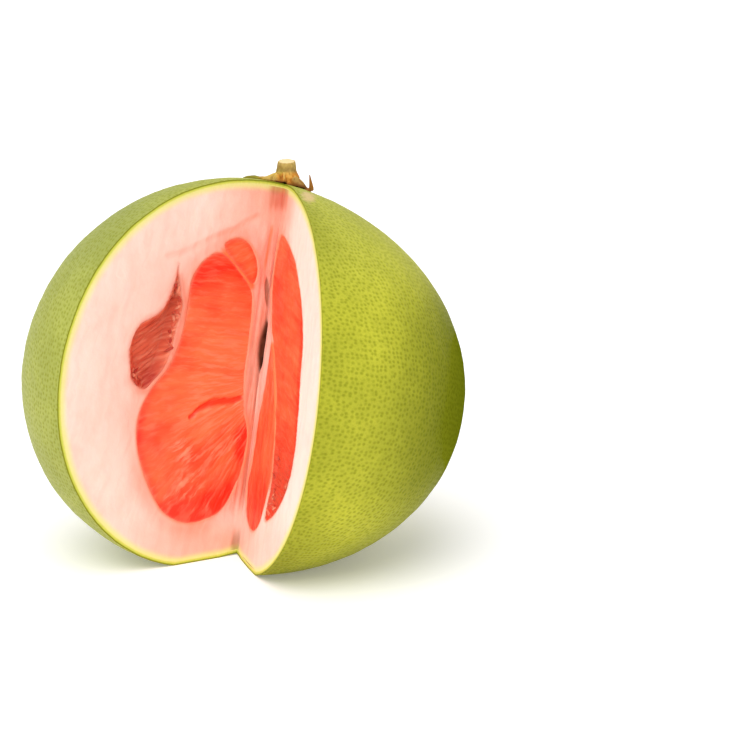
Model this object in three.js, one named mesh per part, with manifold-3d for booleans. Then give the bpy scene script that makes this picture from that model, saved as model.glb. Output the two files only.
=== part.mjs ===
// A whole pomelo with one wedge cut out of it, standing on its blossom end.
// Millimetres. X right, Y into the scene, Z up. The origin is the middle of the
// footprint of the whole fruit, on the ground.
import * as THREE from "three";
import { mergeVertices } from "three/addons/utils/BufferGeometryUtils.js";
import Module from "manifold-3d";

const wasm = await Module();
wasm.setup();

// Body: a slightly flattened ball with a few low waves in its radius
const BODY_RADIUS = 76.96;
const BODY_CENTRE = new THREE.Vector3(1.32, -2, 65.38);
const SQUASH = -0.034;
const SIDE_SQUASH = 0.02;
const LEAN = -0.015;
const TAPER = 0.015;
const TAPER_X = -0.013;
const TAPER_Y = -0.013;
const TWIST = 0.01;
const THREE_SIDED = -0.031;
const BODY_DETAIL = 10;

// The hollow at the blossom end, under the fruit
const DIMPLE_DEPTH = 4.81;
const DIMPLE_RADIUS = 18.29;
const DIMPLE_X = -4.4;
const DIMPLE_Y = -4.8;

// The knife line: both cuts meet along it, from stalk to blossom end
const LINE_TOP = new THREE.Vector3(13.62, 6.91, 69.91);
const LINE_BOTTOM = new THREE.Vector3(-4.4, -4.82, -63.85);
const LEFT_CUT_ANGLE = 213.33;
const RIGHT_CUT_ANGLE = 286.72;

// Layers and the small space that keeps neighbouring solids apart
const SKIN = 1.6;
const GAP = 0.3;
const GROUND = -65.38;

// Depth of the flesh behind the cut faces
const FLESH_DEPTH = 16;
const FLESH_MIDDLE = 0.95;
const FLESH_BACK = 0.82;
const TIP_DEPTH = 7;
const HOLLOW_RECESS = 7;
const HOLLOW_FLESH = 5;

// Outlines on the cut faces: distance out from the knife line, height along it
const LEFT_LARGE = [
  [22.5, 109.4], [12.6, 101.6], [7.6, 94.7], [6.3, 81], [6.4, 67], [5, 54], [1.8, 43], [3.2, 28],
  [8.8, 16], [17.4, 11], [26, 10.6], [34.8, 15.3], [41.5, 25], [47.3, 37.5], [48.2, 49.5],
  [44.6, 59], [38.6, 67], [35.4, 76], [33.8, 88], [33.4, 99], [29.5, 106.4],
];
const LEFT_TIP = [
  [21.2, 112.9], [16.8, 115.6], [11.4, 114], [7.8, 109.4], [6.4, 103.6], [7.6, 99.8], [11.8, 103.4], [17, 107.9],
];
const LEFT_HOLLOW = [
  [39.2, 99.8], [41, 94], [43.6, 88], [47.6, 84.7], [52.4, 81.6], [54.9, 75], [54.2, 68],
  [52.6, 62], [47.4, 58.8], [43.6, 62.4], [40, 67.6], [38.4, 74], [37.2, 82], [35.8, 89.5], [37.4, 95],
];
const RIGHT_OUTER = [
  [6.9, 118.5], [-0.5, 114.4], [-1.6, 105.6], [4.5, 91], [13, 78.6], [22.6, 65.6], [30, 52.6],
  [33.6, 40], [33.4, 29], [31.4, 18.6], [42.3, 22.6], [53.3, 33.3], [58, 47], [56.2, 60.2],
  [52.6, 73], [48.6, 89], [38, 102.6], [24, 112.9],
];
const RIGHT_INNER = [
  [10.4, 77.6], [9.6, 66], [7, 53.5], [5.2, 38], [2.8, 25.6], [7.4, 15], [16, 11.2], [24.2, 15],
  [28.4, 25.6], [30.6, 36], [28.2, 48.6], [22.6, 60.8], [15, 72],
];
// Narrow openings beside the knife line: middle, half width and half height
const CORE_HOLE = { u: 0.4, v: 76.8, halfWidth: 2.3, halfHeight: 9.6, depth: 9 };
const CORE_SLIT = { u: 1.4, v: 96.4, halfWidth: 0.9, halfHeight: 7, depth: 5 };

// Stalk and dry calyx
const STALK_X = 13.9;
const STALK_Y = 15;
const STALK_RADIUS = 3.25;
const STALK_HEIGHT = 9;
const CALYX_THICKNESS = 4.4;
const CALYX_EDGE = 0.9;
const CALYX_ROUND = 6.2;
// Lobes: direction in degrees, length past the round middle, half width in degrees
const CALYX_LOBES = [
  [182, 9.2, 22], [250, 3.4, 30], [318, 3.2, 28], [2, 3.2, 24], [72, 3.6, 30], [128, 4, 28],
];

const radians = (degrees) => (degrees * Math.PI) / 180;

// Distance from the middle of the body to its skin in a direction
function bodyRadius(d) {
  const { x, y, z } = d;
  return BODY_RADIUS * (1 + SQUASH * (3 * z * z - 1) + SIDE_SQUASH * (x * x - y * y) + LEAN * x * z
    + TAPER * z * (5 * z * z - 3) + TAPER_X * x * (5 * z * z - 1) + TAPER_Y * y * (5 * z * z - 1)
    + TWIST * x * y * z + THREE_SIDED * x * (x * x - 3 * y * y));
}

function dimple(x, y) {
  const away = (x - DIMPLE_X) ** 2 + (y - DIMPLE_Y) ** 2;
  return DIMPLE_DEPTH * Math.exp(-away / DIMPLE_RADIUS ** 2);
}

function bodyPoint(d, offset) {
  const p = d.clone().multiplyScalar(bodyRadius(d) + offset);
  if (d.z < 0) p.z += dimple(p.x, p.y);
  return p;
}

function toManifold(geometry) {
  const plain = geometry.index ? geometry.toNonIndexed() : geometry.clone();
  plain.deleteAttribute("normal");
  plain.deleteAttribute("uv");
  const merged = mergeVertices(plain, 1e-4);
  return new wasm.Manifold(new wasm.Mesh({
    numProp: 3,
    vertProperties: new Float32Array(merged.attributes.position.array),
    triVerts: new Uint32Array(merged.index.array),
  }));
}

// The body, grown or shrunk by an offset and cut flat underneath
function bodySolid(offset) {
  const geometry = new THREE.IcosahedronGeometry(1, BODY_DETAIL);
  const position = geometry.attributes.position;
  const d = new THREE.Vector3();
  for (let i = 0; i < position.count; i += 1) {
    d.fromBufferAttribute(position, i).normalize();
    const p = bodyPoint(d, offset);
    position.setXYZ(i, p.x, p.y, p.z);
  }
  const ground = GROUND - Math.min(offset, 0);
  const below = new THREE.BoxGeometry(400, 400, 100).translate(0, 0, ground - 50);
  return toManifold(geometry).subtract(toManifold(below));
}

// The two cut faces: each is a plane through the knife line
const LINE_UP = LINE_TOP.clone().sub(LINE_BOTTOM).normalize();
function cutFace(degrees, side) {
  const out = new THREE.Vector3(Math.cos(radians(degrees)), Math.sin(radians(degrees)), 0);
  out.addScaledVector(LINE_UP, -out.dot(LINE_UP)).normalize();
  const inward = new THREE.Vector3().crossVectors(out, LINE_UP).multiplyScalar(side).normalize();
  const at = (u, v, depth) => LINE_BOTTOM.clone().addScaledVector(out, u)
    .addScaledVector(LINE_UP, v).addScaledVector(inward, depth);
  return { out, inward, at };
}
const LEFT = cutFace(LEFT_CUT_ANGLE, 1);
const RIGHT = cutFace(RIGHT_CUT_ANGLE, -1);

function solidFromTriangles(points, triangles) {
  const geometry = new THREE.BufferGeometry();
  geometry.setAttribute("position", new THREE.Float32BufferAttribute(points.flatMap((p) => [p.x, p.y, p.z]), 3));
  geometry.setIndex(triangles);
  const solid = toManifold(geometry);
  if (solid.volume() > 0) return solid;
  const turned = triangles.map((v, i) => triangles[i - (i % 3) + [0, 2, 1][i % 3]]);
  geometry.setIndex(turned);
  return toManifold(geometry);
}

// The missing wedge
function wedgeSolid() {
  const reach = 180;
  const low = -60;
  const high = 200;
  const points = [
    LEFT.at(0, low, 0), LEFT.at(reach, low, 0), RIGHT.at(reach, low, 0),
    LEFT.at(0, high, 0), LEFT.at(reach, high, 0), RIGHT.at(reach, high, 0),
  ];
  return solidFromTriangles(points, [0, 2, 1, 3, 4, 5, 0, 1, 4, 0, 4, 3, 1, 2, 5, 1, 5, 4, 2, 0, 3, 2, 3, 5]);
}

function smoothOutline(points, count) {
  const curve = new THREE.CatmullRomCurve3(points.map(([u, v]) => new THREE.Vector3(u, v, 0)), true, "catmullrom", 0.5);
  return curve.getSpacedPoints(count).slice(0, count).map((p) => new THREE.Vector2(p.x, p.y));
}

function outlineMiddle(outline) {
  let area = 0;
  const middle = new THREE.Vector2();
  outline.forEach((p, i) => {
    const q = outline[(i + 1) % outline.length];
    const part = p.x * q.y - q.x * p.y;
    area += part;
    middle.x += (p.x + q.x) * part;
    middle.y += (p.y + q.y) * part;
  });
  return middle.divideScalar(3 * area);
}

// An outline moved out by a distance all the way round, and further at its tips
function grown(outline, distance) {
  const turn = THREE.ShapeUtils.area(outline) > 0 ? 1 : -1;
  return outline.map((p, i) => {
    const before = p.clone().sub(outline[(i + outline.length - 1) % outline.length]).normalize();
    const after = outline[(i + 1) % outline.length].clone().sub(p).normalize();
    const along = before.clone().add(after).normalize();
    const reach = (distance * turn) / Math.max(along.dot(after), 0.3);
    return new THREE.Vector2(p.x + along.y * reach, p.y - along.x * reach);
  });
}

// A block behind a cut face whose section is the outline, narrowing to the back
function block(face, line, levels, middle = outlineMiddle(line)) {
  const outline = THREE.ShapeUtils.area(line) > 0 ? line : [...line].reverse();
  const points = [];
  levels.forEach(([depth, scale]) => {
    outline.forEach((p) => {
      const q = p.clone().sub(middle).multiplyScalar(scale).add(middle);
      points.push(face.at(q.x, q.y, depth));
    });
  });
  const n = outline.length;
  const triangles = [];
  for (let k = 0; k < levels.length - 1; k += 1) {
    for (let i = 0; i < n; i += 1) {
      const j = (i + 1) % n;
      const a = k * n + i;
      const b = k * n + j;
      triangles.push(a, b, b + n, a, b + n, a + n);
    }
  }
  const last = (levels.length - 1) * n;
  THREE.ShapeUtils.triangulateShape(outline, []).forEach(([a, p, q]) => {
    const left = THREE.ShapeUtils.area([outline[a], outline[p], outline[q]]) > 0;
    const [b, c] = left ? [p, q] : [q, p];
    triangles.push(a, c, b, last + a, last + b, last + c);
  });
  return solidFromTriangles(points, triangles);
}

// Depths behind the cut face, each with the size of the section there
const fleshLevels = (depth) => [[0, 1], [depth * 0.6, FLESH_MIDDLE], [depth, FLESH_BACK]];
function roomLevels(depth) {
  const slope = (FLESH_MIDDLE - FLESH_BACK) / (depth * 0.4);
  return [[-1, 1], [0, 1], [depth * 0.6, FLESH_MIDDLE], [depth + GAP, FLESH_BACK - slope * GAP]];
}

// Flesh of one segment and the pocket that holds it
function segment(face, points, depth, count) {
  const outline = smoothOutline(points, count);
  return {
    flesh: block(face, outline, fleshLevels(depth)),
    pocket: block(face, grown(outline, GAP), roomLevels(depth), outlineMiddle(outline)),
  };
}

// A narrow lens-shaped opening in a cut face
function opening(face, { u, v, halfWidth, halfHeight, depth }) {
  const outline = [];
  for (let i = 0; i < 12; i += 1) {
    const t = (i * Math.PI) / 6;
    outline.push(new THREE.Vector2(u + halfWidth * Math.cos(t), v + halfHeight * Math.sin(t)));
  }
  return block(face, outline, [[-1, 1], [depth * 0.6, 0.8], [depth, 0.4]]);
}

// Height of the skin above or below a point, near the top of the fruit
function topOfBody(x, y) {
  let low = 30;
  let high = 90;
  for (let i = 0; i < 40; i += 1) {
    const z = (low + high) / 2;
    const p = new THREE.Vector3(x, y, z);
    if (p.length() < bodyRadius(p.clone().normalize())) low = z;
    else high = z;
  }
  return (low + high) / 2;
}

function calyxReach(angle) {
  let reach = CALYX_ROUND;
  CALYX_LOBES.forEach(([degrees, length, half]) => {
    const away = Math.abs(((angle - degrees + 540) % 360) - 180) / half;
    if (away < 1) reach = Math.max(reach, CALYX_ROUND + length * (1 - away) ** 0.8);
  });
  return reach;
}

function stemSolid(skin) {
  const steps = 48;
  const rings = [0.35, 0.65, 0.85, 1];
  const points = [];
  const triangles = [];
  const layer = (top) => {
    const first = points.length;
    const put = (x, y, f) => {
      const rise = top ? CALYX_EDGE + (CALYX_THICKNESS - CALYX_EDGE) * (1 - f * f) : -2.5;
      points.push(new THREE.Vector3(x, y, topOfBody(x, y) + rise));
    };
    put(STALK_X, STALK_Y, 0);
    rings.forEach((f) => {
      for (let i = 0; i < steps; i += 1) {
        const angle = (i * 360) / steps;
        const r = calyxReach(angle) * f;
        put(STALK_X + r * Math.cos(radians(angle)), STALK_Y + r * Math.sin(radians(angle)), f);
      }
    });
    return first;
  };
  const upper = layer(true);
  const lower = layer(false);
  const fill = (first, flip) => {
    const add = (a, b, c) => triangles.push(first + a, first + (flip ? c : b), first + (flip ? b : c));
    for (let i = 0; i < steps; i += 1) {
      const j = (i + 1) % steps;
      add(0, 1 + i, 1 + j);
      for (let k = 0; k < rings.length - 1; k += 1) {
        const a = 1 + k * steps;
        add(a + i, a + i + steps, a + j + steps);
        add(a + i, a + j + steps, a + j);
      }
    }
  };
  fill(upper, false);
  fill(lower, true);
  const rim = 1 + (rings.length - 1) * steps;
  for (let i = 0; i < steps; i += 1) {
    const j = (i + 1) % steps;
    triangles.push(lower + rim + i, lower + rim + j, upper + rim + j);
    triangles.push(lower + rim + i, upper + rim + j, upper + rim + i);
  }
  const calyx = solidFromTriangles(points, triangles);
  const base = topOfBody(STALK_X, STALK_Y);
  const profile = [[0, -1], [STALK_RADIUS * 1.5, -1], [STALK_RADIUS * 1.35, 3.8], [STALK_RADIUS * 1.05, 5.2],
    [STALK_RADIUS, STALK_HEIGHT - 0.4], [STALK_RADIUS * 0.9, STALK_HEIGHT], [0, STALK_HEIGHT]];
  const stalk = new THREE.LatheGeometry(profile.map(([r, z]) => new THREE.Vector2(r, z)), 24);
  stalk.rotateX(Math.PI / 2);
  stalk.translate(STALK_X, STALK_Y, base);
  return calyx.add(toManifold(stalk)).subtract(skin);
}

function toMesh(name, solid, color, roughness) {
  const result = solid.getMesh();
  const count = result.numProp;
  const total = result.vertProperties.length / count;
  const position = new Float32Array(total * 3);
  for (let i = 0; i < total; i += 1) {
    position[i * 3] = result.vertProperties[i * count] + BODY_CENTRE.x;
    position[i * 3 + 1] = result.vertProperties[i * count + 1] + BODY_CENTRE.y;
    position[i * 3 + 2] = result.vertProperties[i * count + 2] + BODY_CENTRE.z;
  }
  const geometry = new THREE.BufferGeometry();
  geometry.setAttribute("position", new THREE.BufferAttribute(position, 3));
  geometry.setIndex(new THREE.BufferAttribute(new Uint32Array(result.triVerts), 1));
  const flat = geometry.toNonIndexed();
  flat.computeVertexNormals();
  const mesh = new THREE.Mesh(flat, new THREE.MeshStandardMaterial({ name, color, roughness, metalness: 0 }));
  mesh.name = name;
  return mesh;
}

const wedge = wedgeSolid();
const whole = bodySolid(0);
const leftLarge = segment(LEFT, LEFT_LARGE, FLESH_DEPTH, 60);
const leftTip = segment(LEFT, LEFT_TIP, TIP_DEPTH, 28);
const rightOuter = segment(RIGHT, RIGHT_OUTER, FLESH_DEPTH, 60);
const rightInner = segment(RIGHT, RIGHT_INNER, FLESH_DEPTH, 40);

// The hollow: an open recess with shrunken flesh at its back
const hollowLine = smoothOutline(LEFT_HOLLOW, 40);
const hollowFlesh = block(LEFT, grown(hollowLine, -GAP), [[HOLLOW_RECESS, 0.9], [HOLLOW_RECESS + HOLLOW_FLESH, 0.7]]);
const hollowRoom = block(LEFT, hollowLine, [[-1, 1], [HOLLOW_RECESS - 0.5, 0.93], [HOLLOW_RECESS + HOLLOW_FLESH + GAP, 0.78]]);

const rind = whole.subtract(bodySolid(-SKIN)).subtract(wedge);
const pith = [leftLarge.pocket, leftTip.pocket, rightOuter.pocket, rightInner.pocket, hollowRoom,
  opening(LEFT, CORE_HOLE), opening(LEFT, CORE_SLIT)].reduce(
  (solid, cut) => solid.subtract(cut),
  bodySolid(-SKIN - GAP).subtract(wedge),
);
const stem = stemSolid(bodySolid(GAP));

const group = new THREE.Group();
group.name = "pomelo";
group.add(toMesh("rind", rind, 0xa5ad3c, 0.5));
group.add(toMesh("pith", pith, 0xf5ddcb, 0.75));
group.add(toMesh("flesh_left_large", leftLarge.flesh, 0xf0603e, 0.35));
group.add(toMesh("flesh_left_tip", leftTip.flesh, 0xea5236, 0.35));
group.add(toMesh("flesh_left_hollow", hollowFlesh, 0xa03a2a, 0.5));
group.add(toMesh("flesh_right_outer", rightOuter.flesh, 0xee5a3c, 0.35));
group.add(toMesh("flesh_right_inner", rightInner.flesh, 0xe04a32, 0.35));
group.add(toMesh("stem", stem, 0x7a6a38, 0.8));

export default group;
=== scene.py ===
"""A whole pomelo with one wedge cut out of it, dressed for a studio picture."""

import math

import bpy
import numpy as np
from bpy.props import FloatProperty, FloatVectorProperty, IntProperty, PointerProperty
from bpy.types import Operator, Panel, PropertyGroup
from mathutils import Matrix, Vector


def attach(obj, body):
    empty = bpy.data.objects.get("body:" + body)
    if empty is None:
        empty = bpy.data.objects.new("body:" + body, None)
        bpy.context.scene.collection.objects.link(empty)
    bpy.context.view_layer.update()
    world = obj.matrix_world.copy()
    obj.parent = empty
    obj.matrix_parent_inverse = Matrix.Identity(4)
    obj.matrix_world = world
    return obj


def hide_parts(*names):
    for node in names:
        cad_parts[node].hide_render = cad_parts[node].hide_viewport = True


bl_info = {
    "name": "Cut pomelo",
    "version": (1, 0, 0),
    "blender": (4, 5, 0),
    "location": "3D View > Sidebar > Pomelo",
    "description": "Builds a pomelo with a wedge cut out of it",
    "category": "Add Mesh",
}

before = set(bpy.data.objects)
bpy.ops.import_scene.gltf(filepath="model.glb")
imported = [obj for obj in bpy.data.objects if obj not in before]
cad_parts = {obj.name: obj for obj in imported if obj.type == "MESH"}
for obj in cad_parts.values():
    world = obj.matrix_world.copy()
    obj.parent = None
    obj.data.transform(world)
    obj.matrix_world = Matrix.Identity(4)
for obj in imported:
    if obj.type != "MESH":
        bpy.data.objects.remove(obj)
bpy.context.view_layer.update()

MM = 0.001

# Body of the fruit, in mm, measured from its middle
CENTRE = np.array([1.32, -2.0, 65.38])
SQUASH, SIDE_SQUASH, LEAN = -0.034, 0.02, -0.015
TAPER, TAPER_X, TAPER_Y, TWIST, THREE_SIDED = 0.015, -0.013, -0.013, 0.01, -0.031
DIMPLE_RADIUS, DIMPLE_X, DIMPLE_Y = 18.29, -4.4, -4.8
GROUND = -65.38

# The knife line and the two cut faces that meet along it
LINE_TOP = np.array([13.62, 6.91, 69.91])
LINE_BOTTOM = np.array([-4.4, -4.82, -63.85])
LINE_MIDDLE = (LINE_TOP + LINE_BOTTOM) / 2
LINE_UP = (LINE_TOP - LINE_BOTTOM) / np.linalg.norm(LINE_TOP - LINE_BOTTOM)
LINE_HALF = np.linalg.norm(LINE_TOP - LINE_BOTTOM) / 2
LEFT_CUT_ANGLE, RIGHT_CUT_ANGLE = 213.33, 286.72

# Outlines on the cut faces: distance out from the knife line, height along it
LEFT_LARGE = [
    (22.3, 109.7), (12.3, 102.0), (7.4, 95.2), (6.3, 81), (6.4, 67), (5, 54), (1.8, 43), (3.2, 28),
    (8.8, 16), (17.4, 11), (26, 10.6), (34.8, 15.3), (41.5, 25), (47.3, 37.5), (48.2, 49.5),
    (44.6, 59), (38.6, 67), (35.4, 76), (33.8, 88), (33.4, 99), (29.5, 106.4),
]
LEFT_TIP = [
    (21.6, 112.6), (16.8, 115.6), (11.4, 114), (7.8, 109.4), (6.4, 103.6), (7.9, 99.3), (12.2, 102.9),
    (17.4, 107.4),
]
LEFT_HOLLOW = [
    (39.2, 99.8), (41, 94), (43.6, 88), (47.6, 84.7), (52.4, 81.6), (54.9, 75), (54.2, 68), (52.6, 62),
    (47.4, 58.8), (43.6, 62.4), (40, 67.6), (38.4, 74), (37.2, 82), (35.8, 89.5), (37.4, 95),
]
RIGHT_OUTER = [
    (6.9, 118.5), (2, 114.6), (0.9, 105.6), (4.3, 91), (12.6, 78.4), (22.0, 65.4), (29.5, 52.4),
    (33.2, 40), (33.0, 29), (31.4, 18.6), (42.3, 22.6), (53.3, 33.3), (58, 47), (56.2, 60.2),
    (52.6, 73), (48.6, 89), (38, 102.6), (24, 112.9),
]
RIGHT_INNER = [
    (10.4, 78.0), (9.6, 66), (7, 53.5), (5.2, 38), (2.8, 25.6), (7.4, 15), (16, 11.2), (24.4, 15),
    (29.4, 25.6), (31.7, 36), (29.3, 48.6), (23.5, 61.0), (15.7, 72.2),
]
SPIKE = [(39.0, 97.5), (39.3, 101), (39.5, 105)]
CRACK = [(27, 49.5), (23.5, 52.9), (19.5, 54.6), (14.6, 55.5), (10.4, 56), (6.6, 57.2)]
PALE_PATCHES = [(22.3, 30), (30.6, 38.3), (25.5, 25), (5.5, 53)]
SEAM = [
    (44.4, 107.2), (38.5, 109), (34.7, 111.1), (28.2, 114.8), (23.5, 117), (18.4, 118.8), (14.2, 122.1),
    (9.5, 124.6),
]

# Openings beside the knife line: half width, half height and height of the middle
CORE_HOLE = (2.6, 10.2, 76.8)
CORE_SLIT = (1.0, 6.4, 96.7)

# How far the flesh reaches back behind its cut, in mm
SEGMENT_DEPTH, TIP_DEPTH, BED_DEPTH = 14, 6, 11
ROOM_BEHIND_HOLLOW = 3.5

# Points along and across the modelled surfaces
RIND_GRID, RIND_STEP = (401, 221), 4
PITH_GRID, PITH_BACK = (301, 141), 37
CALYX_GRID = (181, 34)
STUB_GRID = (97, 73)
SEPAL_GRID = (17, 41)
HALVINGS = 34
WELD_DIGITS = 4

# Where the skin is looked for, in mm: along a ray from the middle, and upwards
RAY_RANGE, RISE_RANGE = (15.0, 120.0), (30.0, 90.0)

# Middles of the skin's flat maps: angle round the fruit and angle up, in degrees
SKIN_CHARTS = [(-15, 0), (105, 0), (225, 0), (0, 90), (0, -90)]
CHART_SPACING = 31

# The sacs of the large segment fan out round this place on the left face, and lie level above it
FAN_U, FAN_V, FAN_SPREAD = -10, 66, 40
LOOSE_SHARE_RIGHT = 0.2
BUMP_DEPTH = 0.0003

# Stalk, calyx and a corky scar in the skin near them
STALK_X, STALK_Y = 13.9, 15.0
SCAR = np.array([24.2, -11.0, 134.2])
CALYX_LOBES = [(194, 10.2, 24), (252, 4.2, 26), (316, 3.8, 24), (2, 3.2, 24), (72, 3.6, 30), (128, 4, 28)]
CALYX_EDGE, CALYX_SUNK, LOBE_THICKNESS = 0.9, 0.4, 0.55
STUB_PROFILE = [
    (0, 0.5), (1.5, 0.5), (1.42, 3.4), (1.2, 4.6), (1.06, 5.6), (1.0, 6.6), (1.02, 7.6), (1.0, 8.5),
    (0.95, 8.9), (0.86, 9.0), (0.6, 8.85), (0.3, 8.95), (0, 8.9),
]
SEPAL_PATH = [
    (5.4, -1.5, 0.9), (7.4, -1.8, 0.2), (9.0, -1.9, 0.5), (9.5, -1.8, 2.0), (9.2, -1.6, 4.2), (8.9, -1.5, 6.4),
]

# Where the camera stood: what it looks at, its height angle and its distance
CAMERA_AIM = np.array([48.06, -2.0, 67.0])
CAMERA_TILT = math.radians(12)
CAMERA_DISTANCE = 900.0
CAMERA_LENS, CAMERA_SENSOR, CAMERA_REACH = 117.72, 36, 50


def metres(name, description, default):
    """A size property in metres."""
    return FloatProperty(name=name, description=description, default=default, unit="LENGTH")


def amount(name, description, default):
    """A property that isn't negative."""
    return FloatProperty(name=name, description=description, default=default, min=0)


def tone(name, description, r, g, b):
    """A colour property from an 8-bit screen colour."""
    shares = (r / 255, g / 255, b / 255)
    linear = [c / 12.92 if c <= 0.04045 else ((c + 0.055) / 1.055) ** 2.4 for c in shares]
    return FloatVectorProperty(
        name=name, description=description, default=(*linear, 1.0), size=4, subtype="COLOR", min=0, max=1)


class FruitSizes(PropertyGroup):
    """Sizes of the body, the cut and the juice sacs."""

    ball_radius: metres("Ball radius", "Mean radius of the fruit", 0.07696)
    skin: metres("Skin", "Thickness of the green skin", 0.0016)
    dimple_depth: metres("Blossom dimple", "Depth of the hollow under the fruit", 0.00481)
    skin_relief: metres("Skin relief", "Height of the skin's low bumps", 0.00028)
    pith_relief: metres("Pith relief", "Height of the pith's soft unevenness", 0.00022)
    sac_width: metres("Sac width", "Width of a juice sac", 0.0017)
    sac_length: metres("Sac length", "Length of a juice sac", 0.011)
    sac_relief: metres("Sac relief", "Height of the juice sacs on the cut", 0.00012)
    loose_length: metres("Loose sac length", "Length of a shrunken loose sac", 0.0034)
    loose_width: metres("Loose sac width", "Width of a shrunken loose sac", 0.0017)
    loose_number: amount("Loose sacs", "Loose sacs on each square metre of a dried bed", 5.5e5)
    seed: IntProperty(name="Seed", description="Seed of the loose sacs", default=4, min=0)
    hollow_depth: metres("Hollow depth", "Depth of the dried hollow in the left face", 0.0046)
    core_depth: metres("Core hole depth", "Depth of the hole beside the knife line", 0.004)


class StemSizes(PropertyGroup):
    """Sizes of the stalk stub and its calyx."""

    stalk_radius: metres("Stalk radius", "Radius of the stub", 0.0034)
    stalk_height: metres("Stalk height", "Height of the stub over the skin", 0.009)
    calyx_round: metres("Calyx radius", "Radius of the calyx without its lobes", 0.0062)
    calyx_thickness: metres("Calyx thickness", "Height of the calyx at its middle", 0.0044)


class FruitColours(PropertyGroup):
    """Colours of the fruit."""

    rind: tone("Rind", "Main yellow green of the skin", 198, 197, 58)
    # Paler greyer green painted on the left and top as the sheen of the light and the white surroundings.
    rind_sage: tone("Rind, pale side", "Greyer green of the left and top", 168, 174, 88)
    # Dark olive painted as shade over the rind's right side, its bottom and the right cut edge; it also tints the
    # random mottling.
    rind_olive: tone("Rind, deep side", "Olive green on the right side", 86, 96, 2)
    glands: tone("Oil glands", "Small dark dots in the skin", 126, 132, 10)
    # Darker oil glands for the same painted shade.
    glands_deep: tone("Oil glands, deep side", "Dots on the olive side", 66, 76, 2)
    scar: tone("Scar", "Dry corky mark beside the stalk", 224, 190, 138)
    rind_dark: tone("Cut skin, outside", "Dark green line on the outside of the cut skin", 128, 136, 26)
    rind_edge: tone("Cut skin", "Yellow green line where the skin is cut", 206, 212, 84)
    pith: tone("Pith", "Cream pink of the pith", 246, 209, 193)
    pith_pale: tone("Pale pith", "Cream white of the pith away from the core", 251, 236, 222)
    pith_rose: tone("Rosy pith", "Pith beside the flesh and core", 244, 150, 120)
    pith_rim: tone("Pith rim", "Pale yellow just under the skin", 238, 232, 142)
    fibre: tone("Fibres", "Fine veins in the pith", 226, 136, 108)
    # Darker brown painted into the core hole, partly as painted shade of the recess.
    core_dark: tone("Core hole", "Dry brown inside the core", 168, 98, 70)
    crease: tone("Creases", "Greenish brown in the creases", 142, 94, 40)
    flesh: tone("Flesh", "Orange of the juice sacs", 252, 130, 80)
    # Also painted as shade in the flesh's crack, slits, pits and between sacs.
    flesh_deep: tone("Deep flesh", "Red of the juiciest sacs", 250, 50, 24)
    flesh_pale: tone("Pale sacs", "Skins between the juice sacs", 255, 178, 142)
    dry_flesh: tone("Dried flesh", "Brick red of the dried sacs", 222, 106, 76)
    dry_dark: tone("Dried flesh, dark", "Shade between the dried sacs", 176, 50, 36)
    drying: tone("Drying flesh", "Brick red low in the right face", 200, 76, 52)
    bark: tone("Stalk", "Olive brown of the stub", 190, 158, 84)
    # Also the colour of the painted shade on the calyx and in the core hole.
    bark_dark: tone("Stalk, dark", "Cracks in the stub and calyx", 84, 46, 16)
    calyx: tone("Calyx", "Ochre of the dry calyx", 216, 142, 44)
    # Painted highlight on the calyx's fold tops; also paler straw on the stub's bark ridges and left of the
    # stalk.
    calyx_light: tone("Calyx, light", "Pale straw on the calyx's ridges", 240, 212, 116)
    calyx_green: tone("Calyx, green", "Green left on the calyx", 150, 156, 40)
    cut_wood: tone("Cut wood", "Pale cut top of the stub", 240, 214, 160)


class StageSettings(PropertyGroup):
    """Floor and light."""

    floor_size: metres("Floor", "Side of the floor", 24.0)
    sky_left: amount("Light from the left", "White light from the left", 0.80)
    sky_right: amount("Light from the right", "White light from the right", 0.62)
    top: amount("Top light", "Strength of the soft light overhead", 0.25)
    front: amount("Front light", "Strength of the soft light at the front", 1.55)


def fruit_settings():
    scene = bpy.context.scene
    return scene.pomelo_sizes, scene.pomelo_colours


def fetch(colours, name):
    return tuple(getattr(colours, name))


# ---- numbers and noise

def clipped(x):
    return np.clip(x, 0, 1)


def side_by_side(*numbers):
    """Lists of numbers put together as points."""
    return np.stack(numbers, axis=1)


def of_length_one(vectors):
    return vectors / np.linalg.norm(vectors, axis=1)[:, None]


def smooth(low, high, x):
    """0 below low, 1 above high, and an even curve between them."""
    t = clipped((x - low) / (high - low))
    return t * t * (3 - 2 * t)


def scatter(ix, iy, iz, seed):
    """A repeatable number from 0 to 1 for each whole-number place."""
    h = (ix * 374761393 + iy * 668265263 + iz * 1440662683 + seed * 1274126177) & 0xFFFFFFFF
    h = ((h ^ (h >> 13)) * 1274126177) & 0xFFFFFFFF
    h = ((h ^ (h >> 16)) * 2246822519) & 0xFFFFFFFF
    return ((h ^ (h >> 15)) & 0xFFFFFF) / 0xFFFFFF


def soft_noise(points, size, seed, octaves=1):
    """Smooth noise from about -1 to 1, with lumps of the given size."""
    total, weight, reach = 0.0, 1.0, 0.0
    for level in range(octaves):
        p = points / size * 2**level + 31.7 * level
        cell = np.floor(p).astype(np.int64)
        f = p - cell
        f = f * f * (3 - 2 * f)
        value = 0.0
        for corner in range(8):
            c = np.array([corner & 1, corner >> 1 & 1, corner >> 2 & 1])
            share = np.prod(np.where(c, f, 1 - f), axis=1)
            value = value + share * scatter(*(cell + c).T, seed + level)
        total = total + weight * (2 * value - 1)
        reach += weight
        weight *= 0.5
    return total / reach


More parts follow.
